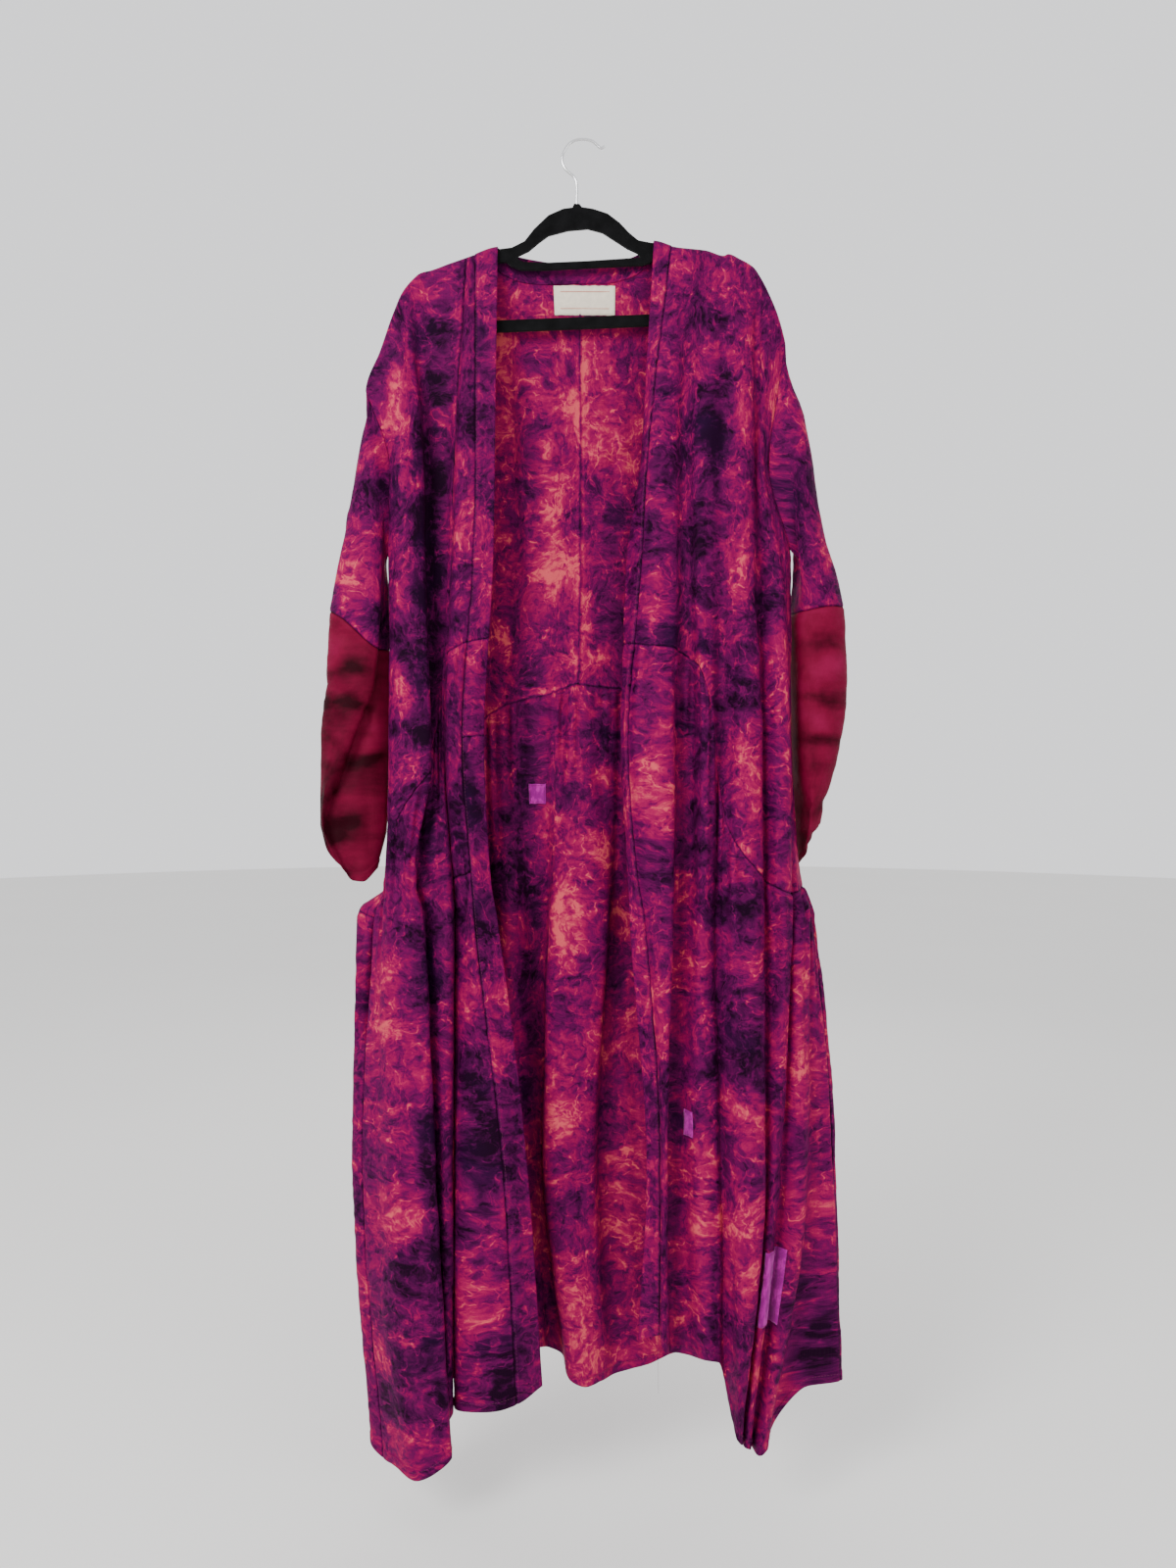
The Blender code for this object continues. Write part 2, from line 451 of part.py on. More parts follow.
def panel(name, sheet, folds, columns, heights, sides, mat, group, thickness=CLOTH, roll=False):
    """One cut piece: the sheet between two folds, with rows at the heights given by a function.

    columns is how many strips of faces each fold gets. A rolled piece starts on the shoulder line,
    where three short rows carry the cloth over the hanger's arm.
    """
    first, last = sheet.place(folds[0]), sheet.place(folds[1])
    s = np.linspace(first, last, (last - first) * columns + 1)
    h = heights(s)
    if roll:
        stretch = (CHEST - TOP_KNOT) / (CHEST - sheet.top(s))
        arc = SHOULDER_ROLL * (1 - np.cos(np.radians([0, 30, 60])))
        start = h[0] + SHOULDER_ROLL * stretch
        rest = start + (h - h[0]) / (h[-1] - h[0]) * (h[-1] - start)
        h = np.concatenate([h[0] + arc[:, None] * stretch, rest])
    grid = np.broadcast_to(s, h.shape)
    points = sheet.points(grid, h)
    return wall(name, pull_in(points, sides), sheet.normals(grid, h, points), thickness, mat, group)


class Sleeve:
    """A flattened tube from the armhole to the cuff, read as a closed sheet."""

    def __init__(self, folds, inner, front, front_fold, back, back_fold):
        self.folds = folds
        self.inner = inner
        self.edges = ((front, front_fold), (back, back_fold))
        self.x = np.array([f.x for f in folds], float)
        self.y = np.array([f.y for f in folds], float)
        self.shoulder = front.top(np.array([float(front_fold)]))[0]

    def turn(self, s):
        """Angle round the armhole: 0 at the shoulder point, pi at the underarm."""
        s = s % len(self.folds)
        back = math.pi * (1 + (s - self.inner) / (len(self.folds) - self.inner))
        return np.where(s <= self.inner, math.pi * s / self.inner, back)

    def top(self, s):
        return self.shoulder + (ARMHOLE_END - self.shoulder) * (1 - np.cos(self.turn(s))) / 2

    def round_value(self, values, s):
        count = len(values)
        places = np.concatenate([[-1.0], np.arange(count), [count]])
        return read_curve(places, np.array([values[-1], *values, values[0]], float), s % count)

    def seam(self, s):
        return self.round_value([f.seam for f in self.folds], s)

    def down(self, s, h):
        k = SLEEVE_KNOTS
        top, hem = self.top(s), self.round_value([f.hem for f in self.folds], s)
        upper = top + (h - k[0]) / (k[3] - k[0]) * (k[3] - top)
        lower = k[6] + (h - k[6]) / (k[7] - k[6]) * (hem - k[6])
        return np.where(h < k[3], upper, np.where(h > k[6], lower, h))

    def knot(self, s, down):
        k, top = SLEEVE_KNOTS, self.top(s)
        return np.where(down < k[3], k[0] + (down - top) / (k[3] - top) * (k[3] - k[0]), down)

    def armhole(self, s):
        """Points of the body's armhole edge that the sleeve's edge follows."""
        down = self.top(s)
        sides = []
        for sheet, fold in self.edges:
            place = np.full_like(s, float(fold))
            sides.append(sheet.points(place, sheet.knot(place, down)))
        front = (self.turn(s) <= math.pi)[:, None]
        edge = np.where(front, sides[0], sides[1])
        way = math.copysign(1.0, self.x[0, 0])
        edge[:, 0] += way * ARMHOLE_SEPARATION
        return edge

    def points(self, s, h):
        s, h = np.broadcast_arrays(np.asarray(s, float), np.asarray(h, float))
        shape, s, h = s.shape, s.ravel() % len(self.folds), h.ravel()
        rows = np.stack([read_curve(SLEEVE_KNOTS, self.x, h), read_curve(SLEEVE_KNOTS, self.y, h)], axis=2)
        plan = across(rows, s, closed=True)
        place = np.column_stack([plan, -self.down(s, h)])
        free = np.clip((h - SLEEVE_KNOTS[0]) / 70.0, 0, 1)[:, None]
        free = free * free * (3 - 2 * free)
        edge = self.armhole(s)
        edge[:, 2] = place[:, 2]
        return (edge * (1 - free) + place * free).reshape(*shape, 3)

    def normals(self, s, h, points):
        dh = 0.8
        up = np.clip(h - dh, SLEEVE_KNOTS[0], SLEEVE_KNOTS[-1])
        dn = np.clip(h + dh, SLEEVE_KNOTS[0], SLEEVE_KNOTS[-1])
        step = unit(np.roll(points, -1, axis=1) - points)
        n = np.cross(step + np.roll(step, 1, axis=1), self.points(s, dn) - self.points(s, up))
        n = unit(n)
        outer = np.median(n[..., 0, 0]) * self.x[0, 0]
        return n * (-1.0 if outer < 0 else 1.0)


def tube(name, sleeve, heights, sides, mat, group, columns=2):
    """One ring of a sleeve, with rows at the heights given by a function."""
    s = np.arange(len(sleeve.folds) * columns) / columns
    h = heights(s)
    grid = np.broadcast_to(s, h.shape)
    points = sleeve.points(grid, h)
    return wall(name, pull_in(points, sides), sleeve.normals(grid, h, points), CLOTH, mat, group, closed=True)


def laid_on(sheet, mend, columns, heights, inside, thickness, mat, group):
    """A label or mend, made from the faces of the panel that it lies on, moved out."""
    start, end = (sheet.place(fold) + share for fold, share in (mend.start, mend.end))
    s = np.unique(np.concatenate([[start, end], np.arange(math.ceil(start * columns), end * columns) / columns]))
    grid_s = np.unique(np.concatenate([np.floor(s * columns) / columns, np.ceil(s * columns) / columns]))
    grid_h = heights(grid_s)
    faces = sheet.points(np.broadcast_to(grid_s, grid_h.shape), grid_h)
    columns_of = [np.array([np.interp(s, grid_s, row[:, axis]) for row in faces]) for axis in range(3)]
    x, y, z = columns_of
    downs = np.linspace(mend.top, mend.bottom, 4)[:, None] * np.ones(len(s))
    points = np.array([[[np.interp(d, -z[:, c], x[:, c]), np.interp(d, -z[:, c], y[:, c]), -d]
                        for c, d in enumerate(row)] for row in downs])
    n = unit(np.cross(np.gradient(points, axis=1), np.gradient(points, axis=0)))
    n *= -np.sign(np.median(n[..., 1]))
    lift = CLOTH / 2 + PATCH_LIFT + thickness / 2
    return wall(mend.name, points + n * lift, n, thickness, mat, group)


def neck_band(back, mat, group, columns=2, rows=3):
    """Band from the back's neck seam up to its free edge, its ends on the shoulder seams."""
    first, last = back.place("neck_left"), back.place("neck_right")
    s = np.linspace(first, last, (last - first) * columns + 1)
    seam = back.points(s, np.full_like(s, TOP_KNOT))
    edge = read_curve(np.arange(len(NECK_EDGE)), np.array(NECK_EDGE, float).T, s - first).T
    edge[:, 2] *= -1
    share = np.linspace(0, 1, rows + 1)[:, None, None]
    points = edge * (1 - share) + seam * share
    across_band = np.gradient(points, axis=1)
    down_band = np.gradient(points, axis=0)
    n = unit(np.cross(across_band, down_band))
    points = pull_in(points, {"left": TURNED_GAP, "right": TURNED_GAP, "bottom": TURNED_GAP})
    return wall("band_neck", points, n, BAND_CLOTH, mat, group)


def arm_points(start, end, count, drop):
    """Points of an arm's edge under the shoulder line."""
    xs = np.linspace(start, end, count)
    return [(x, d + CLOTH + HANGER_CLEARANCE + drop) for x, d in zip(xs, shoulder_down(xs))]


def hanger_frame(mat, group):
    """Flocked hanger: one flat outline with the two openings, extruded and rounded."""
    outer = HUMP + arm_points(102, 200, 9, 0) + RIGHT_TIP[::-1] + LEFT_TIP[::-1] + arm_points(-194, -104, 9, 0)
    bar_rise = [(x, d - BAR_HEIGHT) for x, d in LOWER_BAR]
    lower = (D_BAR_UNDER + arm_points(-96, -176, 7, ARM_HEIGHT) + LEFT_NOOK + bar_rise[:1] + bar_rise[1:]
             + RIGHT_NOOK + arm_points(184, 92, 7, ARM_HEIGHT))
    curve = bpy.data.curves.new("hanger_frame", "CURVE")
    curve.dimensions = "2D"
    curve.fill_mode = "BOTH"
    curve.extrude = HANGER_THICKNESS / 2 * MM
    for loop in (outer, D_OPENING, lower):
        spline = curve.splines.new("POLY")
        spline.points.add(len(loop) - 1)
        for point, (x, down) in zip(spline.points, loop):
            point.co = (x * MM, -down * MM, 0, 1)
        spline.use_cyclic_u = True
    flat = bpy.data.objects.new("hanger_outline", curve)
    group.objects.link(flat)
    flat.rotation_euler = (math.radians(90), 0, 0)
    bpy.context.view_layer.update()
    mesh = bpy.data.meshes.new_from_object(flat.evaluated_get(bpy.context.evaluated_depsgraph_get()))
    mesh.transform(flat.matrix_world)
    bpy.data.objects.remove(flat, do_unlink=True)
    bm = bmesh.new()
    bm.from_mesh(mesh)
    bmesh.ops.remove_doubles(bm, verts=bm.verts, dist=0.00001)
    bmesh.ops.dissolve_limit(bm, angle_limit=math.radians(1), verts=bm.verts, edges=bm.edges)
    bmesh.ops.recalc_face_normals(bm, faces=bm.faces)
    bm.to_mesh(mesh)
    bm.free()
    mesh.materials.clear()
    mesh.materials.append(mat)
    obj = bpy.data.objects.new("hanger_frame", mesh)
    group.objects.link(obj)
    bevel = obj.modifiers.new("rounded edges", "BEVEL")
    bevel.width = HANGER_BEVEL * MM
    bevel.segments = 2
    bevel.limit_method = "ANGLE"
    bevel.angle_limit = math.radians(60)
    return obj


def hanger_hook(mat, group):
    """Bent wire from the tip over the top and down into the hanger's stub."""
    curve = bpy.data.curves.new("hanger_hook", "CURVE")
    curve.dimensions = "3D"
    curve.bevel_depth = WIRE / 2 * MM
    curve.bevel_resolution = 2
    curve.use_fill_caps = True
    spline = curve.splines.new("POLY")
    spline.points.add(len(HOOK) - 1)
    for point, (x, z) in zip(spline.points, HOOK):
        point.co = (x * MM, 0, z * MM, 1)
    curve.materials.append(mat)
    obj = bpy.data.objects.new("hanger_hook", curve)
    group.objects.link(obj)
    return obj


def build():
    start_empty()
    group = collection("kimono_coat")
    dyed = material("tie_dyed_silk", MAGENTA, 0.55)
    violet_cloth = material("violet_patch_silk", VIOLET, 0.4)
    crimson_silk = material("crimson_silk", CRIMSON, 0.5)
    cream_cloth = material("label_cloth", CREAM, 0.7)
    flock = material("flocked_black", BLACK, 0.95)
    steel = material("bright_steel", STEEL, 0.2, 1.0)

    left = Sheet(LEFT_FRONT, -1, [1] * len(LEFT_FRONT), beyond=(BACK[1], None))
    right = Sheet(RIGHT_FRONT, -1, [1] * len(RIGHT_FRONT), beyond=(None, BACK[-2]))
    names = [f.name for f in BACK]
    neck = range(names.index("neck_left") + 1, names.index("neck_right"))
    back = Sheet(BACK, 1, [0 if i in neck else 1 for i in range(len(BACK))], (
        Parting(0, None, ARMHOLE_END, ARMHOLE_GAP), Parting(len(BACK) - 1, None, ARMHOLE_END, ARMHOLE_GAP),
        Parting(0, POCKET_START, POCKET_END, POCKET_GAP)), beyond=(LEFT_FRONT[1], RIGHT_FRONT[-2]))

    shoulder, hem = level(TOP_KNOT), level(HEM_KNOT)

    def strip_joint(sheet):
        return lambda s: sheet.seam(s) + STRIP_DROP * (HEM_KNOT - sheet.seam(s))

    def bodice(sheet):
        return between(shoulder, sheet.seam, BODICE_SHARES)

    def upper_skirt(sheet):
        return between(sheet.seam, strip_joint(sheet), JOINT_SHARES)

    def lower_skirt(sheet):
        return between(strip_joint(sheet), hem, HEM_SHARES)

    def skirt(sheet):
        return lambda s: np.concatenate([upper_skirt(sheet)(s), lower_skirt(sheet)(s)[1:]])

    def sewn(left=0.0, right=0.0, top=SEAM_GAP, bottom=SEAM_GAP):
        return {side: gap for side, gap in
                (("left", left), ("right", right), ("top", top), ("bottom", bottom)) if gap}

    # Back
    panel("back_bodice_left", back, ("left_seam", "centre"), 2, bodice(back),
          sewn(TURNED_GAP, SEAM_GAP, TURNED_GAP), dyed, group, roll=True)
    panel("back_bodice_right", back, ("centre", "right_seam"), 2, bodice(back),
          sewn(SEAM_GAP, TURNED_GAP, TURNED_GAP), dyed, group, roll=True)
    panel("back_skirt", back, ("left_seam", "right_seam"), 2, skirt(back),
          sewn(TURNED_GAP, TURNED_GAP, bottom=0), dyed, group)
    neck_band(back, dyed, group)
    # Left front
    outer, strip, band = ("side", "strip_seam"), ("strip_seam", "band_seam"), ("band_seam", "opening")
    panel("front_bodice_left", left, outer, 3, bodice(left),
          sewn(TURNED_GAP, SEAM_GAP, TURNED_GAP), dyed, group, roll=True)
    panel("front_skirt_left", left, outer, 3, skirt(left), sewn(TURNED_GAP, SEAM_GAP, bottom=0), dyed, group)
    panel("strip_left_upper", left, strip, 2, bodice(left),
          sewn(SEAM_GAP, SEAM_GAP, TURNED_GAP), dyed, group, roll=True)
    panel("strip_left_lower", left, strip, 2, upper_skirt(left), sewn(SEAM_GAP, SEAM_GAP), dyed, group)
    panel("inner_skirt_left", left, strip, 2, lower_skirt(left), sewn(SEAM_GAP, SEAM_GAP, bottom=0), dyed, group)
    panel("band_left_upper", left, band, 2, bodice(left),
          sewn(SEAM_GAP, top=TURNED_GAP), dyed, group, BAND_CLOTH, roll=True)
    panel("band_left_middle", left, band, 2, lambda s: upper_skirt(left)(s)[:BAND_ROW + 1],
          sewn(SEAM_GAP), dyed, group, BAND_CLOTH)
    panel("band_left_lower", left, band, 2, lambda s: skirt(left)(s)[BAND_ROW:],
          sewn(SEAM_GAP, bottom=0), dyed, group, BAND_CLOTH)
    # Right front
    outer, band = ("band_seam", "side"), ("opening", "band_seam")
    panel("front_bodice_right", right, outer, 2, bodice(right),
          sewn(SEAM_GAP, TURNED_GAP, TURNED_GAP), dyed, group, roll=True)
    panel("front_skirt_right", right, outer, 2, skirt(right), sewn(SEAM_GAP, TURNED_GAP, bottom=0), dyed, group)
    panel("band_right_upper", right, band, 2, bodice(right),
          sewn(right=SEAM_GAP, top=TURNED_GAP), dyed, group, BAND_CLOTH, roll=True)
    panel("band_right_lower", right, band, 2, skirt(right),
          sewn(right=SEAM_GAP, bottom=0), dyed, group, BAND_CLOTH)
    # Sleeves
    for side, folds, inner, front, front_fold, back_fold in (
            ("left", LEFT_SLEEVE, LEFT_INNER, left, 0, 0),
            ("right", RIGHT_SLEEVE, RIGHT_INNER, right, len(RIGHT_FRONT) - 1, len(BACK) - 1)):
        sleeve = Sleeve(folds, inner, front, front_fold, back, back_fold)
        armhole, cuff = level(SLEEVE_KNOTS[0]), level(SLEEVE_KNOTS[-1])

        def joint(s, sleeve=sleeve):
            return sleeve.knot(s, sleeve.seam(s))

        tube("sleeve_upper_" + side, sleeve, between(armhole, joint, UPPER_SHARES),
             {"bottom": SEAM_GAP}, dyed, group)
        tube("sleeve_lower_" + side, sleeve, between(joint, cuff, LOWER_SHARES),
             {"top": SEAM_GAP}, crimson_silk, group)
    # Label and mends
    laid_on(back, LABEL, 2, bodice(back), True, LABEL_CLOTH, cream_cloth, group)
    laid_on(back, BACK_PATCH, 2, skirt(back), True, PATCH_CLOTH, violet_cloth, group)
    laid_on(right, SIDE_PATCH, 2, skirt(right), False, PATCH_CLOTH, violet_cloth, group)
    laid_on(right, SMALL_PATCH, 2, skirt(right), False, PATCH_CLOTH, violet_cloth, group)
    # Hanger
    hanger_frame(flock, group)
    hanger_hook(steel, group)


build()
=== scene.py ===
"""Patchwork kimono coat on a flocked hanger, sewn, gathered, creased and tie-dyed.

Lengths in the tables are millimetres and the meshes are in metres. X runs to the viewer's right,
Y away from the viewer and Z up, from the underside of the hook's top.

The cloth is read from hanging sheets, described by their folds: each row is a crest or a valley
with its place across (x) and in depth (y) at eight heights. Every cut piece is a range of those
sheets, and lies where its solid does.
"""

import math
from collections import namedtuple

import bpy
import numpy as np
from bpy.props import FloatProperty, FloatVectorProperty
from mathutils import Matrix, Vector


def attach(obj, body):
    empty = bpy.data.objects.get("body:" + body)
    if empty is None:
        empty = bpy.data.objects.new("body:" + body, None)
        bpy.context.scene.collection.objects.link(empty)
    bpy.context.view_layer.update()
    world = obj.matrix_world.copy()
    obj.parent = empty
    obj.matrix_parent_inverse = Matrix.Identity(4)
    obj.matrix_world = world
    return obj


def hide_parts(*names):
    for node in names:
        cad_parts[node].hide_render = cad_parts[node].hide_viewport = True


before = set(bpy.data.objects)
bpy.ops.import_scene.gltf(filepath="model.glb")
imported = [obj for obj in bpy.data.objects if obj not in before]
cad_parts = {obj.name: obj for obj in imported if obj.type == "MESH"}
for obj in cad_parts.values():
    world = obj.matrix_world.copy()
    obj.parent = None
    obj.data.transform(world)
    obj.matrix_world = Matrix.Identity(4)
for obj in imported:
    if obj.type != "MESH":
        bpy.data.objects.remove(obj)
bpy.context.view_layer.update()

bl_info = {
    "name": "Patchwork kimono coat",
    "version": (1, 0, 0),
    "blender": (4, 5, 0),
    "location": "3D View > Sidebar > Kimono Coat",
    "description": "A tie-dyed patchwork silk coat on its hanger, piece by piece",
    "category": "Object",
}

MM = 0.001
SHOULDER_ROLL = 6.0         # radius of the cloth over the hanger's arm
GATHER_DEPTH = 2.6          # height of one gather under the waist seam
GATHER_REACH = 130.0        # how far down a gather fades out
GATHER_START = 18.0         # below the seam, where a gather has its full height
GATHER_WIDTH = 14.0         # folds narrower than this have lower gathers
PROBES_PER_FOLD = 12        # places at which the way across the cloth is measured
WIRE = 3.4                  # thickness of the hook's wire
STRIP_DROP = 0.29           # the left strip's cross seam, as a share of the skirt
BAND_JOINT = 0.418          # the left band's cross seam, as a share of that

# The stage and the camera, in metres, degrees and millimetres of lens
FLOOR_DOWN, FLOOR_RADIUS = -1.62, 9.0
CAMERA_PLACE = (0.0092, -1.39, -0.7274)
CAMERA_PITCH = 89.0
CAMERA_LENS = 27.05

# Heights below the hook where the fold tables are read
CHEST, UNDERARM, WAIST, FLARE, HIP, KNEE = 383.0, 492.0, 700.0, 866.0, 905.0, 1200.0
TOP_KNOT, HEM_KNOT = 150.0, 1500.0
KNOTS = np.array([TOP_KNOT, CHEST, UNDERARM, WAIST, FLARE, HIP, KNEE, HEM_KNOT])

Fold = namedtuple("Fold", "name x y seam hem top", defaults=(None,))
# x and y: at the shoulder, chest, underarm, waist, flare, hip, knee and hem
# seam and hem: how far below the hook; top: only where it isn't on the shoulder line

ShoulderPoint = namedtuple("ShoulderPoint", "x down")
SHOULDER = [ShoulderPoint(*row) for row in (
    (-251, 291), (-242, 266), (-234, 245), (-218, 200), (-208, 177), (-197, 163), (-186, 154),
    (-174, 151), (-152, 143), (-129, 135), (-96, 124), (86, 117), (112, 124), (147, 128),
    (168, 134), (173, 132), (187, 138), (202, 147), (213, 163), (222, 181), (230, 200),
    (237, 223), (240, 237))]

LEFT_FRONT = [Fold(*row) for row in (
    ("side", (-251, -223, -224, -223, -224, -240, -256, -233),
     (-6, -8, -5, -6, -10, -16, -12, -14), 908, 1547),
    ("ridge_flank", (-234, -217, -218, -221, -225, -229, -237, -216),
     (-6, -20, -20, -22, -26, -30, -28, -30), 850, 1546),
    ("ridge", (-218, -200, -201, -207, -213, -214, -212, -190),
     (-6, -38, -38, -40, -42, -46, -48, -52), 795, 1551),
    ("ridge_edge", (-207, -182, -180, -172, -190, -181, -166, -148),
     (-6, -32, -33, -42, -44, -48, -52, -52), 740, 1525),
    ("valley", (-193, -181, -180, -176, -191, -181, -171, -162),
     (-6, -9, -9, -16, -24, -27, -30, -25), 722, 1514),
    ("second_ridge", (-177, -167, -167, -166, -166, -161, -157, -153),
     (-6, -8, -8, -16, -33, -38, -40, -34), 676, 1492),
    ("second_edge", (-151, -153, -156, -162, -151, -148, -149, -149),
     (-6, -10, -10, -18, -33, -36, -36, -30), 624, 1486),
    ("strip_seam", (-133, -147, -150, -158, -148, -146, -148, -149),
     (-6, -16, -16, -20, -20, -20, -21, -19), 602, 1482),
    ("strip_flank", (-130, -141, -145, -153, -142, -132, -139, -141),
     (-6, -27, -28, -30, -28, -36, -36, -36), 597, 1478),
    ("strip", (-126, -131, -135, -144, -132, -127, -113, -106),
     (-6, -30, -30, -32, -34, -42, -44, -44), 592, 1476),
    ("band_seam", (-122, -120, -123, -136, -124, -121, -88, -73),
     (-6, -30, -30, -32, -38, -42, -44, -42), 587, 1468),
    ("opening", (-96, -98, -100, -111, -103, -96, -61, -44),
     (-6, -28, -28, -28, -30, -32, -34, -30), 583, 1452))]

RIGHT_FRONT = [Fold(*row) for row in (
    ("opening", (86, 70, 55, 48, 57, 58, 78, 68), (-6, -14, -4, -8, -20, -26, -28, -24), 587, 1401),
    ("band_seam", (106, 77, 71, 55, 67, 74, 92, 92), (-6, -26, -24, -24, -30, -34, -36, -36), 589, 1390),
    ("first_ridge", (117, 92, 88, 76, 85, 87, 96, 97), (-6, -32, -34, -40, -42, -42, -42, -40), 592, 1406),
    ("first_edge", (129, 108, 108, 104, 106, 105, 101, 102),
     (-6, -28, -30, -42, -44, -44, -40, -36), 594, 1412),
    ("first_valley", (138, 118, 118, 113, 111, 108, 100, 106),
     (-6, -20, -20, -20, -18, -18, -18, -16), 598, 1420),
    ("valley_floor", (142, 125, 127, 131, 129, 125, 119, 127),
     (-6, -21, -21, -22, -20, -20, -18, -18), 608, 1422),
    ("second_ridge", (149, 135, 136, 140, 138, 138, 137, 145),
     (-6, -28, -30, -43, -42, -40, -40, -38), 621, 1418),
    ("second_edge", (158, 149, 150, 150, 149, 149, 157, 161),
     (-6, -28, -28, -42, -40, -38, -38, -36), 661, 1422),
    ("slit", (168, 164, 165, 160, 158, 157, 165, 168), (-6, -22, -22, -27, -28, -30, -31, -30), 740, 1445),
    ("panel_flank", (179, 176, 176, 172, 167, 166, 173, 176),
     (-6, -25, -26, -34, -38, -42, -46, -46), 798, 1485),
    ("panel", (189, 188, 190, 187, 184, 183, 187, 180), (-6, -28, -30, -46, -50, -55, -56, -58), 828, 1500),
    ("panel_edge", (201, 197, 199, 207, 208, 208, 210, 185),
     (-6, -24, -26, -38, -44, -50, -52, -54), 854, 1508),
    ("panel_valley", (209, 204, 207, 211, 213, 213, 214, 187),
     (-6, -11, -11, -22, -26, -30, -34, -36), 863, 1514),
    ("third_ridge", (216, 208, 218, 227, 226, 229, 222, 191),
     (-6, -18, -20, -40, -44, -46, -46, -48), 870, 1515),
    ("third_edge", (223, 212, 229, 240, 241, 241, 231, 196),
     (-6, -18, -22, -36, -40, -42, -40, -44), 876, 1519),
    ("third_valley", (227, 215, 236, 243, 244, 243, 235, 200),
     (-6, -14, -15, -23, -26, -26, -26, -26), 878, 1524),
    ("side_ridge", (231, 217, 239, 244, 250, 253, 248, 207),
     (-6, -13, -14, -15, -26, -34, -36, -44), 876, 1526),
    ("side_edge", (234, 218, 241, 245, 254, 262, 261, 216),
     (-6, -12, -12, -12, -21, -30, -34, -40), 875, 1521),
    ("side_valley", (236, 219, 243, 246, 256, 267, 269, 227),
     (-6, -11, -10, -9, -15, -22, -18, -18), 874, 1502),
    ("side_flank", (238, 220, 245, 247, 258, 269, 286, 268),
     (-6, -10, -8, -7, -10, -15, -14, -14), 873, 1461),
    ("side", (240, 221, 247, 247, 259, 271, 299, 308), (-6, -8, -6, -5, -6, -8, -9, -9), 873, 1457))]

BACK = [Fold(*row) for row in (
    ("left_seam", (-251, -223, -224, -223, -224, -240, -256, -233),
     (6, -8, -5, -6, -10, -16, -12, -14), 908, 1547),
    ("left_turn", (-244, -217, -223, -222, -224, -262, -270, -250), (6, 15, 5, 3, 4, -2, 0, 0), 900, 1533),
    ("left_back", (-235, -200, -212, -212, -216, -252, -255, -231),
     (6, 20, 14, 11, 18, 24, 26, 26), 870, 1510),
    ("wave_1", (-216, -175, -180, -182, -200, -221, -214, -192),
     (6, 22, 22, 22, 32, 40, 42, 40), 820, 1488),
    ("wave_2", (-186, -145, -148, -150, -160, -169, -162, -145),
     (6, 24, 26, 32, 30, 28, 28, 26), 735, 1470),
    ("wave_3", (-140, -122, -123, -125, -130, -133, -126, -102),
     (6, 26, 28, 36, 40, 42, 44, 42), 690, 1450),
    ("neck_left", (-122, -109, -108, -114, -108, -104, -103, -70),
     (6, 27, 29, 35, 28, 24, 24, 26), 672, 1436),
    ("neck_corner_left", (-112, -99, -98, -102, -94, -90, -92, -57),
     (7, 27, 29, 33, 20, 12, 12, 14), 664, 1430, 130),
    ("inner_ridge", (-91, -82, -83, -87, -81, -78, -83, -47),
     (8, 27, 28, 32, 21, 15, 15, 18), 656, 1431, 152),
    ("dark_valley", (-66, -61, -63, -67, -63, -61, -56, -38),
     (10, 26, 26, 30, 35, 38, 40, 36), 650, 1440, 161),
    ("valley_rise", (-43, -35, -38, -42, -40, -41, -46, -22),
     (10, 24, 24, 26, 31, 36, 36, 34), 645, 1447, 163),
    ("pleat_left", (-22, -16, -18, -22, -28, -34, -41, -14), (10, 24, 22, 22, 12, 8, 6, 4), 638, 1462, 163),
    ("centre", (0, 0, 0, -3, -4, -5, -10, 7), (10, 23, 20, 16, 8, 4, 0, 0), 633, 1470, 162),
    ("pleat_right", (27, 22, 23, 25, 29, 31, 15, 26), (10, 24, 22, 22, 14, 10, 8, 8), 636, 1467, 162),
    ("right_valley", (46, 45, 47, 48, 43, 38, 25, 45), (10, 25, 24, 28, 30, 30, 30, 26), 638, 1466, 159),
    ("right_rise", (67, 69, 72, 74, 68, 64, 61, 82), (8, 27, 28, 34, 35, 36, 34, 30), 642, 1458, 152),
    ("neck_corner_right", (97, 94, 96, 98, 96, 97, 106, 110),
     (7, 28, 30, 34, 28, 25, 24, 24), 652, 1442, 120.5),
    ("neck_right", (106, 107, 109, 111, 113, 116, 128, 132), (6, 28, 30, 34, 28, 25, 25, 25), 664, 1437),
    ("wave_4", (119, 134, 135, 139, 148, 155, 174, 178), (6, 27, 28, 32, 37, 40, 40, 38), 700, 1438),
    ("wave_5", (159, 165, 170, 178, 192, 200, 228, 236), (6, 24, 24, 22, 24, 26, 26, 24), 790, 1450),
    ("wave_6", (203, 195, 212, 215, 228, 240, 268, 278), (6, 18, 17, 15, 24, 32, 32, 28), 845, 1452),
    ("right_back", (230, 212, 235, 237, 251, 267, 294, 304), (6, 15, 12, 11, 13, 16, 16, 14), 868, 1455),
    ("right_turn", (237, 218, 247, 248, 261, 275, 303, 309), (6, 13, 3, 3, 3, 2, 2, 1), 872, 1456),
    ("right_seam", (240, 221, 247, 247, 259, 271, 299, 308), (6, -8, -6, -5, -6, -8, -9, -9), 873, 1457))]

# Where the back sheet's outer fold parts from the front's: between two depths, by a gap
Parting = namedtuple("Parting", "fold start end gap")
ARMHOLE_END = 470.0
ARMHOLE_GAP = 18.0
POCKET_START, POCKET_END, POCKET_GAP = 945.0, 1070.0, 14.0

# Sleeves: knots run from the armhole to the cuff; the armhole and cuff edges aren't level
SLEEVE_KNOTS = np.array([290.0, 337.0, 452.0, 567.0, 636.0, 705.0, 798.0, 870.0])
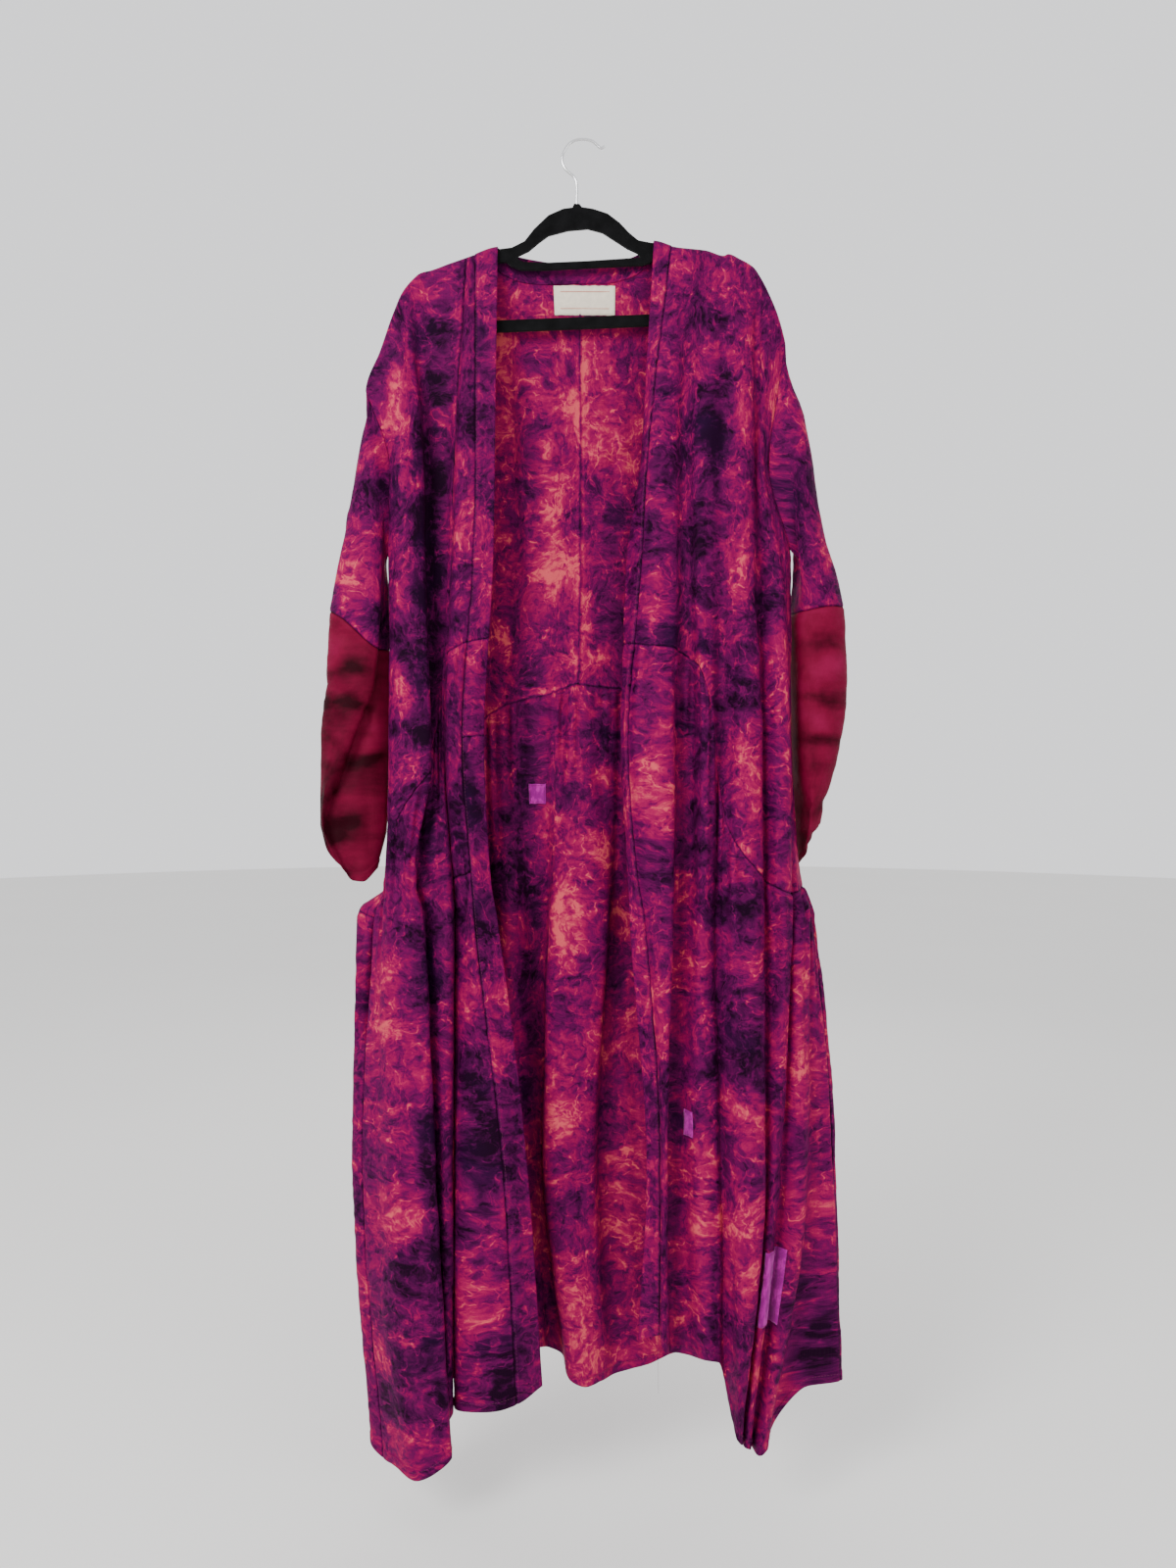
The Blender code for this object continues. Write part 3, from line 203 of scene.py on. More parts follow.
# x and y at those knots; seam: the joint of upper and lower sleeve; hem: the cuff

LEFT_SLEEVE = [Fold(*row) for row in (
    ("outer", (-251, -256, -275, -296, -299, -305, -305, -301), (0, 0, 0, 0, 0, 0, 0, 0), 549, 817),
    ("front_outer", (-243, -248, -264, -280, -285, -295, -303, -294),
     (-7, -12, -15, -17, -17, -15, -9, -8), 557, 832),
    ("crest", (-225, -237, -241, -245, -252, -277, -301, -285),
     (-8, -14, -18, -20, -22, -23, -14, -10), 586, 844),
    ("fold_edge", (-224, -231, -232, -234, -240, -267, -298, -276),
     (-8, -12, -15, -16, -17, -18, -11, -10), 593, 854),
    ("under", (-224, -229, -230, -235, -244, -267, -291, -267),
     (-8, -10, -9, -8, -6, -5, -5, -8), 594, 865),
    ("second_layer", (-224, -229, -229, -232, -236, -245, -259, -254),
     (-7, -6, -5, -3, -3, -5, -9, -10), 594, 866),
    ("inner", (-224, -228, -226, -225, -225, -226, -229, -240), (-4, 1, 4, 6, 8, 9, 4, 0), 594, 850),
    ("back_inner", (-224, -230, -234, -242, -246, -248, -250, -255),
     (10, 11, 14, 16, 17, 18, 14, 8), 572, 860),
    ("back_outer", (-236, -246, -259, -278, -284, -288, -288, -283),
     (10, 13, 17, 18, 18, 17, 12, 7), 555, 843))]
LEFT_INNER = 6              # the fold that starts at the underarm

RIGHT_SLEEVE = [Fold(*row) for row in (
    ("outer", (240, 257, 281, 312, 314, 306, 283, 275), (0, 0, 0, 0, 0, 0, 0, 0), 544, 809),
    ("front_outer", (236, 252, 272, 297, 298, 291, 274, 269),
     (-7, -11, -14, -16, -17, -17, -12, -8), 544, 817),
    ("front", (224, 244, 261, 280, 279, 276, 268, 264), (-8, -13, -17, -19, -20, -20, -15, -10), 546, 825),
    ("front_inner", (224, 247, 256, 266, 264, 264, 269, 267),
     (-8, -12, -15, -17, -18, -18, -12, -6), 549, 830),
    ("corner", (236, 259, 258, 257, 256, 257, 266, 267), (-6, -7, -8, -12, -12, -12, -6, 0), 550, 834),
    ("inner", (246, 260, 254, 249, 249, 250, 257, 262), (-2, 2, 6, 9, 12, 15, 12, 11), 551, 844),
    ("back_inner", (232, 253, 253, 250, 248, 247, 254, 260), (10, 13, 16, 21, 25, 28, 30, 31), 551, 855),
    ("back_outer", (230, 253, 272, 294, 293, 286, 272, 268), (10, 13, 17, 20, 24, 28, 28, 24), 546, 832))]
RIGHT_INNER = 5             # and the same on the right
ARMHOLE_SEPARATION = -0.7   # the sleeve's edge is tucked just under the body's
ARMHOLE_BLEND = 70.0        # how far down the sleeve takes on its own shape
SLEEVE_LEVELS = (400.0, 560.0, 720.0)       # heights at which a sleeve is measured round

NECK_BAND = 27.0            # width of the neck band
# Its free edge, one row for each fold of the back from neck_left to neck_right
NeckPoint = namedtuple("NeckPoint", "x y down")
NECK_EDGE = [NeckPoint(*row) for row in (
    (-96, 0, 124), (-93, 6, 125.5), (-86, 8, 127.5), (-72, 10, 131), (-50, 11, 135), (-20, 12, 138.5),
    (10, 12, 139), (40, 11.5, 136), (62, 10, 131), (76, 8, 124), (84, 6, 118.5), (86, 0, 117))]

# Label, mends and a small violet patch that paints a glint: from a share past one fold to a share past
# another, and between two depths
Mend = namedtuple("Mend", "name start end top bottom")
LABEL = Mend("label", ("valley_rise", 0.55), ("pleat_right", 0.75), 164.5, 198.0)
BACK_PATCH = Mend("patch_back", ("dark_valley", 0.2), ("valley_rise", 0.0), 752.0, 776.0)
SIDE_PATCH = Mend("patch_front", ("panel_valley", 0.75), ("third_valley", 0.9), 1290.0, 1376.0)
# not a mend: a narrow bright violet piece along a fold where light glints, a painted highlight
PAINTED_GLINT_PATCH = Mend("patch_small", ("valley_floor", 0.2), ("valley_floor", 0.7), 1130.0, 1160.0)
MEND_WALL = 0.0007                          # in metres, as the walls of the coat's settings
MEND_EDGE, MEND_SWELL = 0.9, 0.7            # how far the edge lies off the cloth, and the middle more

Stitch = namedtuple("Stitch", "pitch length thread")
LABEL_STITCH, WOVEN_LINE = Stitch(2.6, 1.8, 0.3), Stitch(1.5, 1.45, 0.7)
MEND_STITCH, COAT_STITCH = Stitch(3.6, 2.5, 0.35), Stitch(3.8, 2.6, 0.3)
STITCH_SHARES = (0, 0.25, 0.75, 1)          # points along one stitch
STITCH_RISE = (-0.45, 0.12, 0.12, -0.45)    # and how far they stand off their row
LABEL_INSET, MEND_INSET = 1.8, 2.0          # from the edge to the stitches
LABEL_LIFT, MEND_LIFT = 2.1, 2.2            # of the stitches off the coat's cloth
LABEL_LINES = (7.0, 26.0)                   # the woven lines, below the label's top
HEM_STITCH_INSET = 1.4                      # from the hem's inner edge down to its stitches
BAND_STITCH_SHARE = 0.09                    # from the band's seam towards the band, in folds
BAND_STITCH_START, BAND_STITCH_END = 20.0, 1460.0       # below the shoulder, and below the hook

# Middle of the hook's wire, as x and height
HOOK = [
    (28.5, -6.5), (24.5, -8.5), (20, -5), (14.5, -0.6), (8, 1.3), (2, 1.7), (-4, 1), (-9.5, -1.2),
    (-14, -5), (-17.5, -10), (-20.3, -16), (-20.8, -21.5), (-20, -27), (-17, -32.5), (-12, -37.5),
    (-7.5, -41.5), (-4.8, -46), (-3.8, -52), (-3.8, -60), (-4, -73.4)]

# A few dark rows are painted shade: long narrow strips along fold valleys, and one on the right band's
# turned-back inner side.
# Tied places of the dye: where, half width, half height, and how dark or pale
Cloud = namedtuple("Cloud", "x down wide high tone")
LEFT_DYE_AND_SHADE = [Cloud(*row) for row in (
    (-171, 383, 15, 145, -1.0), (-115, 300, 16, 75, -0.8), (-202, 585, 24, 14, -0.9),
    (-198, 692, 24, 12, -0.9), (-134, 770, 14, 60, -0.8), (-216, 1184, 36, 24, -0.9),
    (-216, 1320, 36, 20, -0.9), (-230, 1465, 14, 26, -0.8), (-94, 1165, 34, 58, -0.7),
    (-83, 1430, 26, 48, -0.9), (-178, 640, 16, 110, -0.7), (-205, 440, 20, 16, -0.7),
    (-212, 812, 30, 18, -0.7), (-190, 930, 20, 26, -0.6), (-165, 1290, 10, 160, -0.5),
    (-120, 905, 20, 20, -0.6), (-205, 210, 20, 16, -0.5), (-207, 308, 18, 38, 0.8),
    (-130, 435, 26, 50, 0.7), (-144, 620, 12, 28, 0.8), (-120, 650, 12, 66, 0.7), (-216, 1036, 34, 70, 0.7),
    (-198, 1540, 28, 28, 0.7), (-112, 1012, 32, 46, 0.7), (-106, 1252, 28, 20, 0.8),
    (-205, 640, 20, 24, 0.5), (-205, 745, 22, 22, 0.5), (-218, 1255, 30, 26, 0.6),
    (-122, 1340, 18, 60, 0.4), (-225, 1395, 26, 40, 0.5), (-126, 560, 32, 420, -0.42),
    (-112, 1150, 40, 420, -0.30), (-212, 620, 26, 420, -0.2), (-200, 1400, 40, 160, -0.35),
    # both rows on the next line are narrow dark strips along the left front's valley fold: painted shade
    (-176, 560, 9, 330, -0.3), (-168, 1180, 8, 330, -0.6))]
RIGHT_DYE_AND_SHADE = [Cloud(*row) for row in (
    (150, 192, 28, 24, -0.8), (165, 279, 14, 20, -0.8), (160, 365, 18, 50, -0.8), (130, 470, 20, 60, -0.8),
    (84, 632, 30, 36, -0.7), (142, 788, 10, 54, -0.8), (194, 1055, 24, 42, -0.9), (292, 1420, 34, 60, -2.4),
    (188, 1465, 9, 26, -0.8), (206, 560, 22, 26, -0.7), (178, 640, 18, 40, -0.7), (212, 420, 14, 40, -0.7),
    (110, 330, 22, 40, -0.5), (258, 930, 20, 22, -0.7), (264, 1165, 22, 26, -0.7), (92, 900, 18, 26, -0.6),
    (98, 1120, 18, 34, -0.7), (102, 1345, 20, 30, -0.6), (222, 1330, 20, 24, -0.6),
    (186, 900, 22, 20, -0.5), (98, 480, 16, 50, 0.7), (90, 748, 26, 72, 0.5), (237, 745, 10, 85, 0.6),
    (255, 1038, 16, 72, 0.7), (206, 1245, 36, 36, 0.7), (142, 1290, 18, 140, 0.6), (222, 1430, 18, 30, 0.7),
    (286, 1312, 18, 42, 0.4), (205, 300, 20, 46, 0.6), (120, 250, 20, 30, 0.5), (194, 760, 16, 50, 0.5),
    # the last row on the next line, at x 63, is painted shade on the right band's turned-back inner side
    (180, 500, 16, 34, 0.5), (90, 1010, 16, 50, 0.6), (190, 1150, 20, 30, 0.6), (63, 470, 8, 110, -0.8),
    # the last row on the next line, at x 159, is a narrow dark strip along the slit's valley: painted shade
    (130, 300, 70, 160, -0.22), (159, 1000, 7, 420, -0.6))]
BACK_DYE_AND_SHADE = [Cloud(*row) for row in (
    (-69, 770, 32, 105, -0.9), (-60, 1005, 20, 60, -0.9), (27, 447, 30, 36, -0.8), (15, 712, 30, 48, -0.8),
    (-14, 1232, 24, 48, -0.8), (-70, 420, 18, 34, -0.6), (40, 560, 20, 30, -0.6), (30, 960, 20, 40, -0.6),
    (-160, 330, 40, 30, -0.8), (-190, 620, 30, 34, -0.8), (-140, 850, 44, 30, -0.8),
    (-200, 1080, 46, 30, -0.9), (-150, 1330, 44, 34, -0.8), (150, 300, 44, 30, -0.8),
    (190, 560, 34, 38, -0.8), (150, 880, 46, 30, -0.9), (230, 1120, 46, 34, -0.8),
    (170, 1370, 50, 32, -0.8), (-70, 262, 34, 40, 0.6), (-31, 480, 34, 70, 0.6), (21, 834, 13, 18, 0.8),
    (-58, 992, 13, 14, 0.7), (-26, 1140, 12, 24, 0.7), (44, 1192, 34, 30, 0.7), (10, 300, 40, 50, 0.5),
    (-20, 900, 14, 70, 0.6), (-170, 470, 40, 50, 0.6), (-190, 950, 40, 50, 0.6), (-140, 1200, 40, 50, 0.6),
    # the last row on the next line, at x -68, is a narrow dark strip along the dark valley fold: painted
    # shade
    (170, 430, 40, 50, 0.6), (180, 720, 40, 60, 0.6), (210, 1240, 50, 50, 0.6), (-68, 780, 13, 420, -0.6))]
SLEEVE_CLOUDS = [Cloud(*row) for row in (
    (-248, 412, 26, 22, -1.0), (-262, 330, 16, 22, -0.5), (-270, 515, 18, 36, 0.8),
    (-245, 480, 14, 30, 0.4), (-238, 560, 22, 16, -0.7), (258, 390, 20, 30, -0.8), (284, 470, 20, 34, 0.6),
    (268, 330, 14, 30, 0.5), (292, 520, 20, 20, -0.7), (262, 470, 12, 30, -0.5))]
# Dark and pale stripes across the crimson lower sleeves
STRIPES = [Cloud(*row) for row in (
    (-282, 619, 30, 9, -0.7), (-266, 629, 16, 8, -0.6), (-300, 650, 14, 5, -1.0), (-284, 658, 18, 5, -1.0),
    (-262, 668, 16, 5, -1.0), (-296, 700, 16, 6, -0.5), (-250, 716, 22, 8, -0.9), (-276, 728, 20, 6, -0.5),
    (-290, 808, 26, 11, -0.9), (-266, 806, 14, 9, -0.6), (-300, 770, 10, 40, -0.6),
    (-280, 856, 26, 8, -0.8), (-292, 590, 16, 18, 0.4), (-252, 690, 10, 24, 0.5), (-262, 770, 24, 20, 0.3),
    (-275, 730, 60, 170, -0.55), (284, 584, 34, 8, -0.9), (280, 644, 36, 6, -1.0), (284, 706, 30, 7, -1.0),
    (280, 733, 26, 5, -0.5), (274, 776, 26, 9, -1.0), (270, 812, 20, 8, -0.7), (290, 612, 20, 14, 0.5),
    (284, 676, 22, 14, 0.4))]

# Creases laid one by one: from one place to another, half width and height (a trough is negative)
Crease = namedtuple("Crease", "x0 down0 x1 down1 wide high")
LEFT_CREASES = [Crease(*row) for row in (
    (-216, 430, -186, 452, 5, -1.2), (-214, 470, -188, 462, 4, 0.9), (-218, 575, -180, 600, 6, -1.4),
    (-215, 622, -186, 612, 5, 1.0), (-219, 688, -182, 704, 5, -1.2), (-140, 352, -104, 330, 5, 0.9),
    (-146, 515, -112, 498, 5, -1.0), (-150, 560, -116, 580, 5, 0.9), (-222, 790, -150, 905, 7, -1.6),
    (-214, 775, -176, 900, 6, 1.4), (-205, 800, -200, 930, 5, -1.5), (-190, 770, -178, 880, 5, -1.2),
    (-235, 915, -222, 1080, 6, 1.3), (-244, 985, -206, 1040, 5, -1.0), (-196, 1010, -190, 1190, 7, -1.2),
    (-232, 1110, -198, 1150, 6, 1.0), (-236, 1250, -190, 1225, 6, -1.1), (-228, 1330, -214, 1480, 7, 1.4),
    (-205, 1360, -190, 1520, 6, -1.4), (-178, 1180, -172, 1330, 5, 1.0), (-132, 930, -112, 1010, 5, 1.0),
    (-118, 1050, -86, 1140, 6, -1.2), (-126, 1160, -94, 1230, 5, 1.0), (-84, 1220, -80, 1430, 5, -1.8),
    (-120, 1300, -112, 1460, 6, 1.2), (-140, 840, -120, 980, 5, -1.0))]
RIGHT_CREASES = [Crease(*row) for row in (
    (122, 160, 120, 420, 8, -1.4), (204, 180, 212, 400, 7, -1.6), (160, 250, 186, 330, 6, 1.0),
    (130, 500, 168, 470, 6, -1.2), (150, 540, 190, 520, 5, 1.0), (232, 470, 190, 560, 7, -1.5),
    (238, 520, 200, 620, 6, 1.2), (74, 598, 58, 640, 4, -1.8), (92, 600, 90, 660, 4, -1.6),
    (106, 602, 116, 672, 4, -1.8), (84, 600, 76, 650, 3, 1.2), (99, 602, 104, 680, 3, 1.2),
    (130, 612, 126, 720, 4, -1.4), (118, 604, 122, 700, 4, 1.3), (186, 640, 182, 780, 6, -1.4),
    (210, 655, 206, 700, 5, 1.0), (180, 812, 190, 960, 5, -1.6), (198, 850, 202, 1010, 5, 1.2),
    (226, 885, 224, 1050, 4, -1.5), (244, 892, 250, 1060, 5, 1.4), (254, 900, 264, 1090, 4, -1.4),
    (236, 1050, 212, 1500, 6, -1.2), (264, 1080, 236, 1480, 7, 1.3), (288, 1150, 268, 1410, 7, -1.1),
    (72, 980, 96, 1060, 5, 1.0), (76, 1150, 98, 1190, 5, -1.0), (196, 1090, 206, 1290, 6, 1.1),
    (132, 960, 128, 1180, 5, 0.9), (174, 1280, 178, 1480, 5, -1.2))]
BACK_CREASES = [Crease(*row) for row in (
    (-62, 345, 2, 366, 5, -1.5), (2, 366, 66, 338, 5, -1.5), (-50, 362, 0, 384, 4, 1.2),
    (4, 384, 58, 360, 4, 1.2), (-72, 300, -58, 560, 6, -1.4), (30, 250, 44, 420, 6, 1.0),
    (-24, 210, -8, 420, 7, -1.0), (-8, 640, -14, 760, 4, -1.8), (-20, 640, -30, 780, 4, 1.4),
    (10, 642, 6, 740, 4, 1.4), (24, 644, 30, 760, 4, -1.6), (-46, 650, -50, 800, 5, 1.2),
    (40, 646, 38, 720, 4, 1.2), (-170, 220, -120, 420, 8, -1.6), (120, 230, 170, 440, 8, -1.6),
    (-190, 500, -130, 640, 7, 1.4), (200, 470, 140, 640, 7, 1.4), (-200, 740, -206, 960, 7, -1.6),
    (-150, 710, -160, 900, 6, -1.5), (150, 720, 160, 930, 6, -1.6), (200, 760, 216, 980, 7, -1.5),
    (-120, 960, -118, 1240, 7, 1.4), (120, 940, 140, 1260, 7, 1.4), (-220, 1100, -200, 1400, 8, 1.5),
    (240, 1080, 250, 1380, 8, 1.5), (-60, 1080, -46, 1400, 7, -1.4), (50, 1020, 66, 1380, 7, -1.4),
    (-10, 980, 2, 1300, 6, 1.2))]
SLEEVE_CREASES = [Crease(*row) for row in (
    (-300, 560, -240, 606, 6, -1.4), (-304, 628, -244, 668, 5, -2.2), (-304, 652, -250, 690, 4, 1.2),
    (-302, 700, -262, 728, 6, -1.6), (-300, 752, -262, 770, 6, 1.2), (-302, 806, -262, 800, 7, -1.8),
    (-290, 832, -262, 822, 4, 1.2), (-290, 848, -258, 842, 3, -1.4), (-262, 640, -240, 700, 4, -1.3),
    (-280, 760, -264, 860, 4, 1.2), (-252, 730, -246, 840, 4, -1.4), (-282, 300, -240, 330, 8, -1.4),
    (-286, 420, -236, 470, 7, 1.2), (-240, 330, -272, 520, 6, -1.0), (262, 584, 310, 580, 6, -2.0),
    (256, 620, 312, 630, 5, 1.2), (256, 648, 314, 636, 6, -2.0), (258, 706, 306, 700, 6, -2.2),
    (258, 735, 300, 726, 4, 1.2), (262, 776, 296, 770, 7, -2.0), (262, 808, 284, 816, 4, -1.4),
    (252, 330, 296, 420, 8, 1.2), (262, 420, 306, 500, 7, -1.4), (262, 500, 300, 540, 6, 1.2))]


def slopes(knots, values):
    """End slopes of a curve through the values that never overshoots them (rows of values)."""
    step = np.diff(knots)
    rise = np.diff(values, axis=-1) / step
    inner = np.zeros_like(values[..., 1:-1])
    same = rise[..., :-1] * rise[..., 1:] > 0
    total = np.where(same, rise[..., :-1] + rise[..., 1:], 1.0)
    inner[same] = (2 * rise[..., :-1] * rise[..., 1:] / total)[same]
    return np.concatenate([rise[..., :1], inner, rise[..., -1:]], axis=-1)


def hermite(a, b, da, db, t):
    """Curve from a to b with end slopes da and db, at a share of the way."""
    return (a * (1 + 2 * t) * (1 - t) ** 2 + da * t * (1 - t) ** 2
            + b * t * t * (3 - 2 * t) - db * t * t * (1 - t))


def eased(share):
    return share * share * (3 - 2 * share)


def read_curve(knots, values, at):
    """Read rows of values, given at the knots, at each of the places."""
    knots = np.asarray(knots, float)
    values = np.asarray(values, float)
    slope = slopes(knots, values)
    at = np.clip(at, knots[0], knots[-1])
    i = np.clip(np.searchsorted(knots, at, side="right") - 1, 0, len(knots) - 2)
    step = knots[i + 1] - knots[i]
    t = (at - knots[i]) / step
    return hermite(values[..., i], values[..., i + 1], slope[..., i] * step, slope[..., i + 1] * step, t)


def across(rows, places, closed=False, ends=(None, None)):
    """Rounded curve through the folds of each height: rows is (folds, points, axes).

    ends are the next sheet's folds past a sewn edge, so that both sides meet in one curve.
    """
    count = rows.shape[0]
    if closed:
        before, after = np.roll(rows, 1, axis=0), np.roll(rows, -1, axis=0)
    else:
        first = 2 * rows[0] - rows[1] if ends[0] is None else ends[0]
        last = 2 * rows[-1] - rows[-2] if ends[1] is None else ends[1]
        before = np.concatenate([first[None], rows[:-1]])
        after = np.concatenate([rows[1:], last[None]])
    out, back = np.linalg.norm(after - rows, axis=2), np.linalg.norm(rows - before, axis=2)
    reach = np.minimum((out + back) / 2, 1.3 * np.minimum(out, back))
    tangent = (unit(after - rows) + unit(rows - before)) / 2 * reach[..., None]
    if closed:
        i = np.floor(places).astype(int) % count
        j = (i + 1) % count
        t = (places - np.floor(places))[:, None]
    else:
        i = np.clip(np.floor(places).astype(int), 0, count - 2)
        j = i + 1
        t = (places - i)[:, None]
    point = np.arange(len(places))
    return hermite(rows[i, point], rows[j, point], tangent[i, point], tangent[j, point], t)


def unit(vectors):
    return vectors / np.maximum(np.linalg.norm(vectors, axis=-1, keepdims=True), 1e-12)


def along(values, places):
    """Smooth value between the folds, from one number for each fold."""
    return read_curve(np.arange(len(values)), np.array(values, float), places)


def shoulder_down(x):
    """How far below the hook the cloth's top edge lies at x."""
    return read_curve([p.x for p in SHOULDER], [p.down for p in SHOULDER], x)


def path_lengths(points, axis):
    return np.linalg.norm(np.diff(points, axis=axis), axis=-1)


def running(steps):
    """Length from the start to each point, from the steps between them."""
    return np.concatenate([[0], np.cumsum(steps)])


class Cloth:
    """What a sheet and a sleeve share: folds, dye with some painted shade, creases and the way along the
    cloth.
    """

    def __init__(self, folds, clouds, creases, turn_out, gathered):
        self.folds = folds
        self.clouds, self.creases = clouds, creases
        self.turn_out = turn_out      # which way the grid's own direction has to be turned
        self.gathered = gathered      # 1 where the cloth is gathered under its seam, else 0
        self.x = np.array([f.x for f in folds], float)
        self.y = np.array([f.y for f in folds], float)

    def measure(self, end, heights):
        """Lengths across the cloth, from the first fold to the end, as the mean of some heights."""
        self.places = np.linspace(0, end, PROBES_PER_FOLD * len(self.folds))
        levels = np.array(heights)[:, None] * np.ones(len(self.places))
        points = self.points(np.broadcast_to(self.places, levels.shape), levels)
        self.lengths = running(path_lengths(points, 1).mean(axis=0))

    def cloth(self, s):
        """How far across the cloth a place lies, in millimetres."""
        return np.interp(s, self.places, self.lengths)

    def plan_rows(self, knots, h):
        """Each fold's place across and in depth at some heights."""
        return np.stack([read_curve(knots, self.x, h), read_curve(knots, self.y, h)], axis=2)


class Sheet(Cloth):
    """One hanging sheet, read at a place across (in folds) and a height (on the knots)."""

    def __init__(self, folds, facing, rolled, clouds, creases, partings=(), beyond=(None, None)):
        super().__init__(folds, clouds, creases, facing, 1.0)
        self.beyond = beyond          # the neighbour's fold past each outer edge
        self.facing = facing          # -1 where its outside faces the viewer, +1 at the back
        self.rolled = rolled          # how much of the shoulder roll each fold has, 0 to 1
        self.partings = partings      # where an outer fold opens away from the front sheet
        self.measure(len(folds) - 1, (UNDERARM, HIP, KNEE))

    def place(self, name):
        return [f.name for f in self.folds].index(name)

    def top(self, s):
        line = shoulder_down(along(self.x[:, 0], s))
        own = np.array([f.top or shoulder_down(np.array([f.x[0]]))[0] for f in self.folds])
        off_line = np.array([0.0 if f.top is None else 1.0 for f in self.folds])
        weight = np.interp(s, np.arange(len(own)), off_line)
        return np.where(weight > 0, along(own, s), line)

    def down(self, s, h):
        top, hem = self.top(s), along([f.hem for f in self.folds], s)
        upper = top + (h - TOP_KNOT) / (CHEST - TOP_KNOT) * (CHEST - top)
        lower = KNEE + (h - KNEE) / (HEM_KNOT - KNEE) * (hem - KNEE)
        return np.where(h < CHEST, upper, np.where(h > KNEE, lower, h))

    def seam(self, s):
        return along([f.seam for f in self.folds], s)

    def points(self, s, h):
        """World points in millimetres."""
        s, h = np.broadcast_arrays(np.asarray(s, float), np.asarray(h, float))
        shape, s, h = s.shape, s.ravel(), h.ravel()
        rows = self.plan_rows(KNOTS, h)
        down = self.down(s, h)
        for part in self.partings:
            start = self.top(np.full_like(s, part.fold)) if part.start is None else part.start
            reach = np.clip((down - start) / (part.end - start), 0, 1)
            rows[part.fold, :, 1] += part.gap * np.sin(math.pi * reach) ** 0.8
        ends = [fold and np.stack([read_curve(KNOTS, fold.x, h), read_curve(KNOTS, fold.y, h)], axis=1)
                for fold in self.beyond]
        plan = across(rows, s, ends=ends)
        x, y = plan[:, 0], plan[:, 1]
        radius = SHOULDER_ROLL * np.interp(s, np.arange(len(self.folds)), self.rolled)
        depth = np.clip(down - self.top(s), 0, radius)
        roll = radius - np.sqrt(np.maximum(radius ** 2 - (radius - depth) ** 2, 0))
        y = y - self.facing * roll
        i = np.clip(np.floor(s).astype(int), 0, len(self.folds) - 2)
        near = np.arange(len(s))
        spans = np.linalg.norm(np.diff(rows, axis=0), axis=2)
        narrow = np.minimum(np.concatenate([spans[:1], spans]), np.concatenate([spans, spans[-1:]]))
        width = narrow[i, near] + (s - i) * (narrow[i + 1, near] - narrow[i, near])
        y = y + self.gathers(s, down) * np.clip(width / GATHER_WIDTH, 0, 1)
        return np.stack([x, y, -down], axis=1).reshape(*shape, 3)

    def gathers(self, s, down):
        """Small waves under the waist seam, one for each fold, fading downwards."""
        below = down - self.seam(s)
        swell = np.clip(below / GATHER_START, 0, 1) * np.exp(-np.clip(below, 0, None) / GATHER_REACH)
        return GATHER_DEPTH * swell * np.cos(2 * math.pi * s)

    def knot(self, s, down):
        """Height on the knots of a place at a depth below the hook."""
        top = self.top(s)
        return np.where(down < CHEST, TOP_KNOT + (down - top) / (CHEST - top) * (CHEST - TOP_KNOT),
                        np.where(down > KNEE, KNEE + (down - KNEE) * (HEM_KNOT - KNEE)
                                 / (along([f.hem for f in self.folds], s) - KNEE), down))


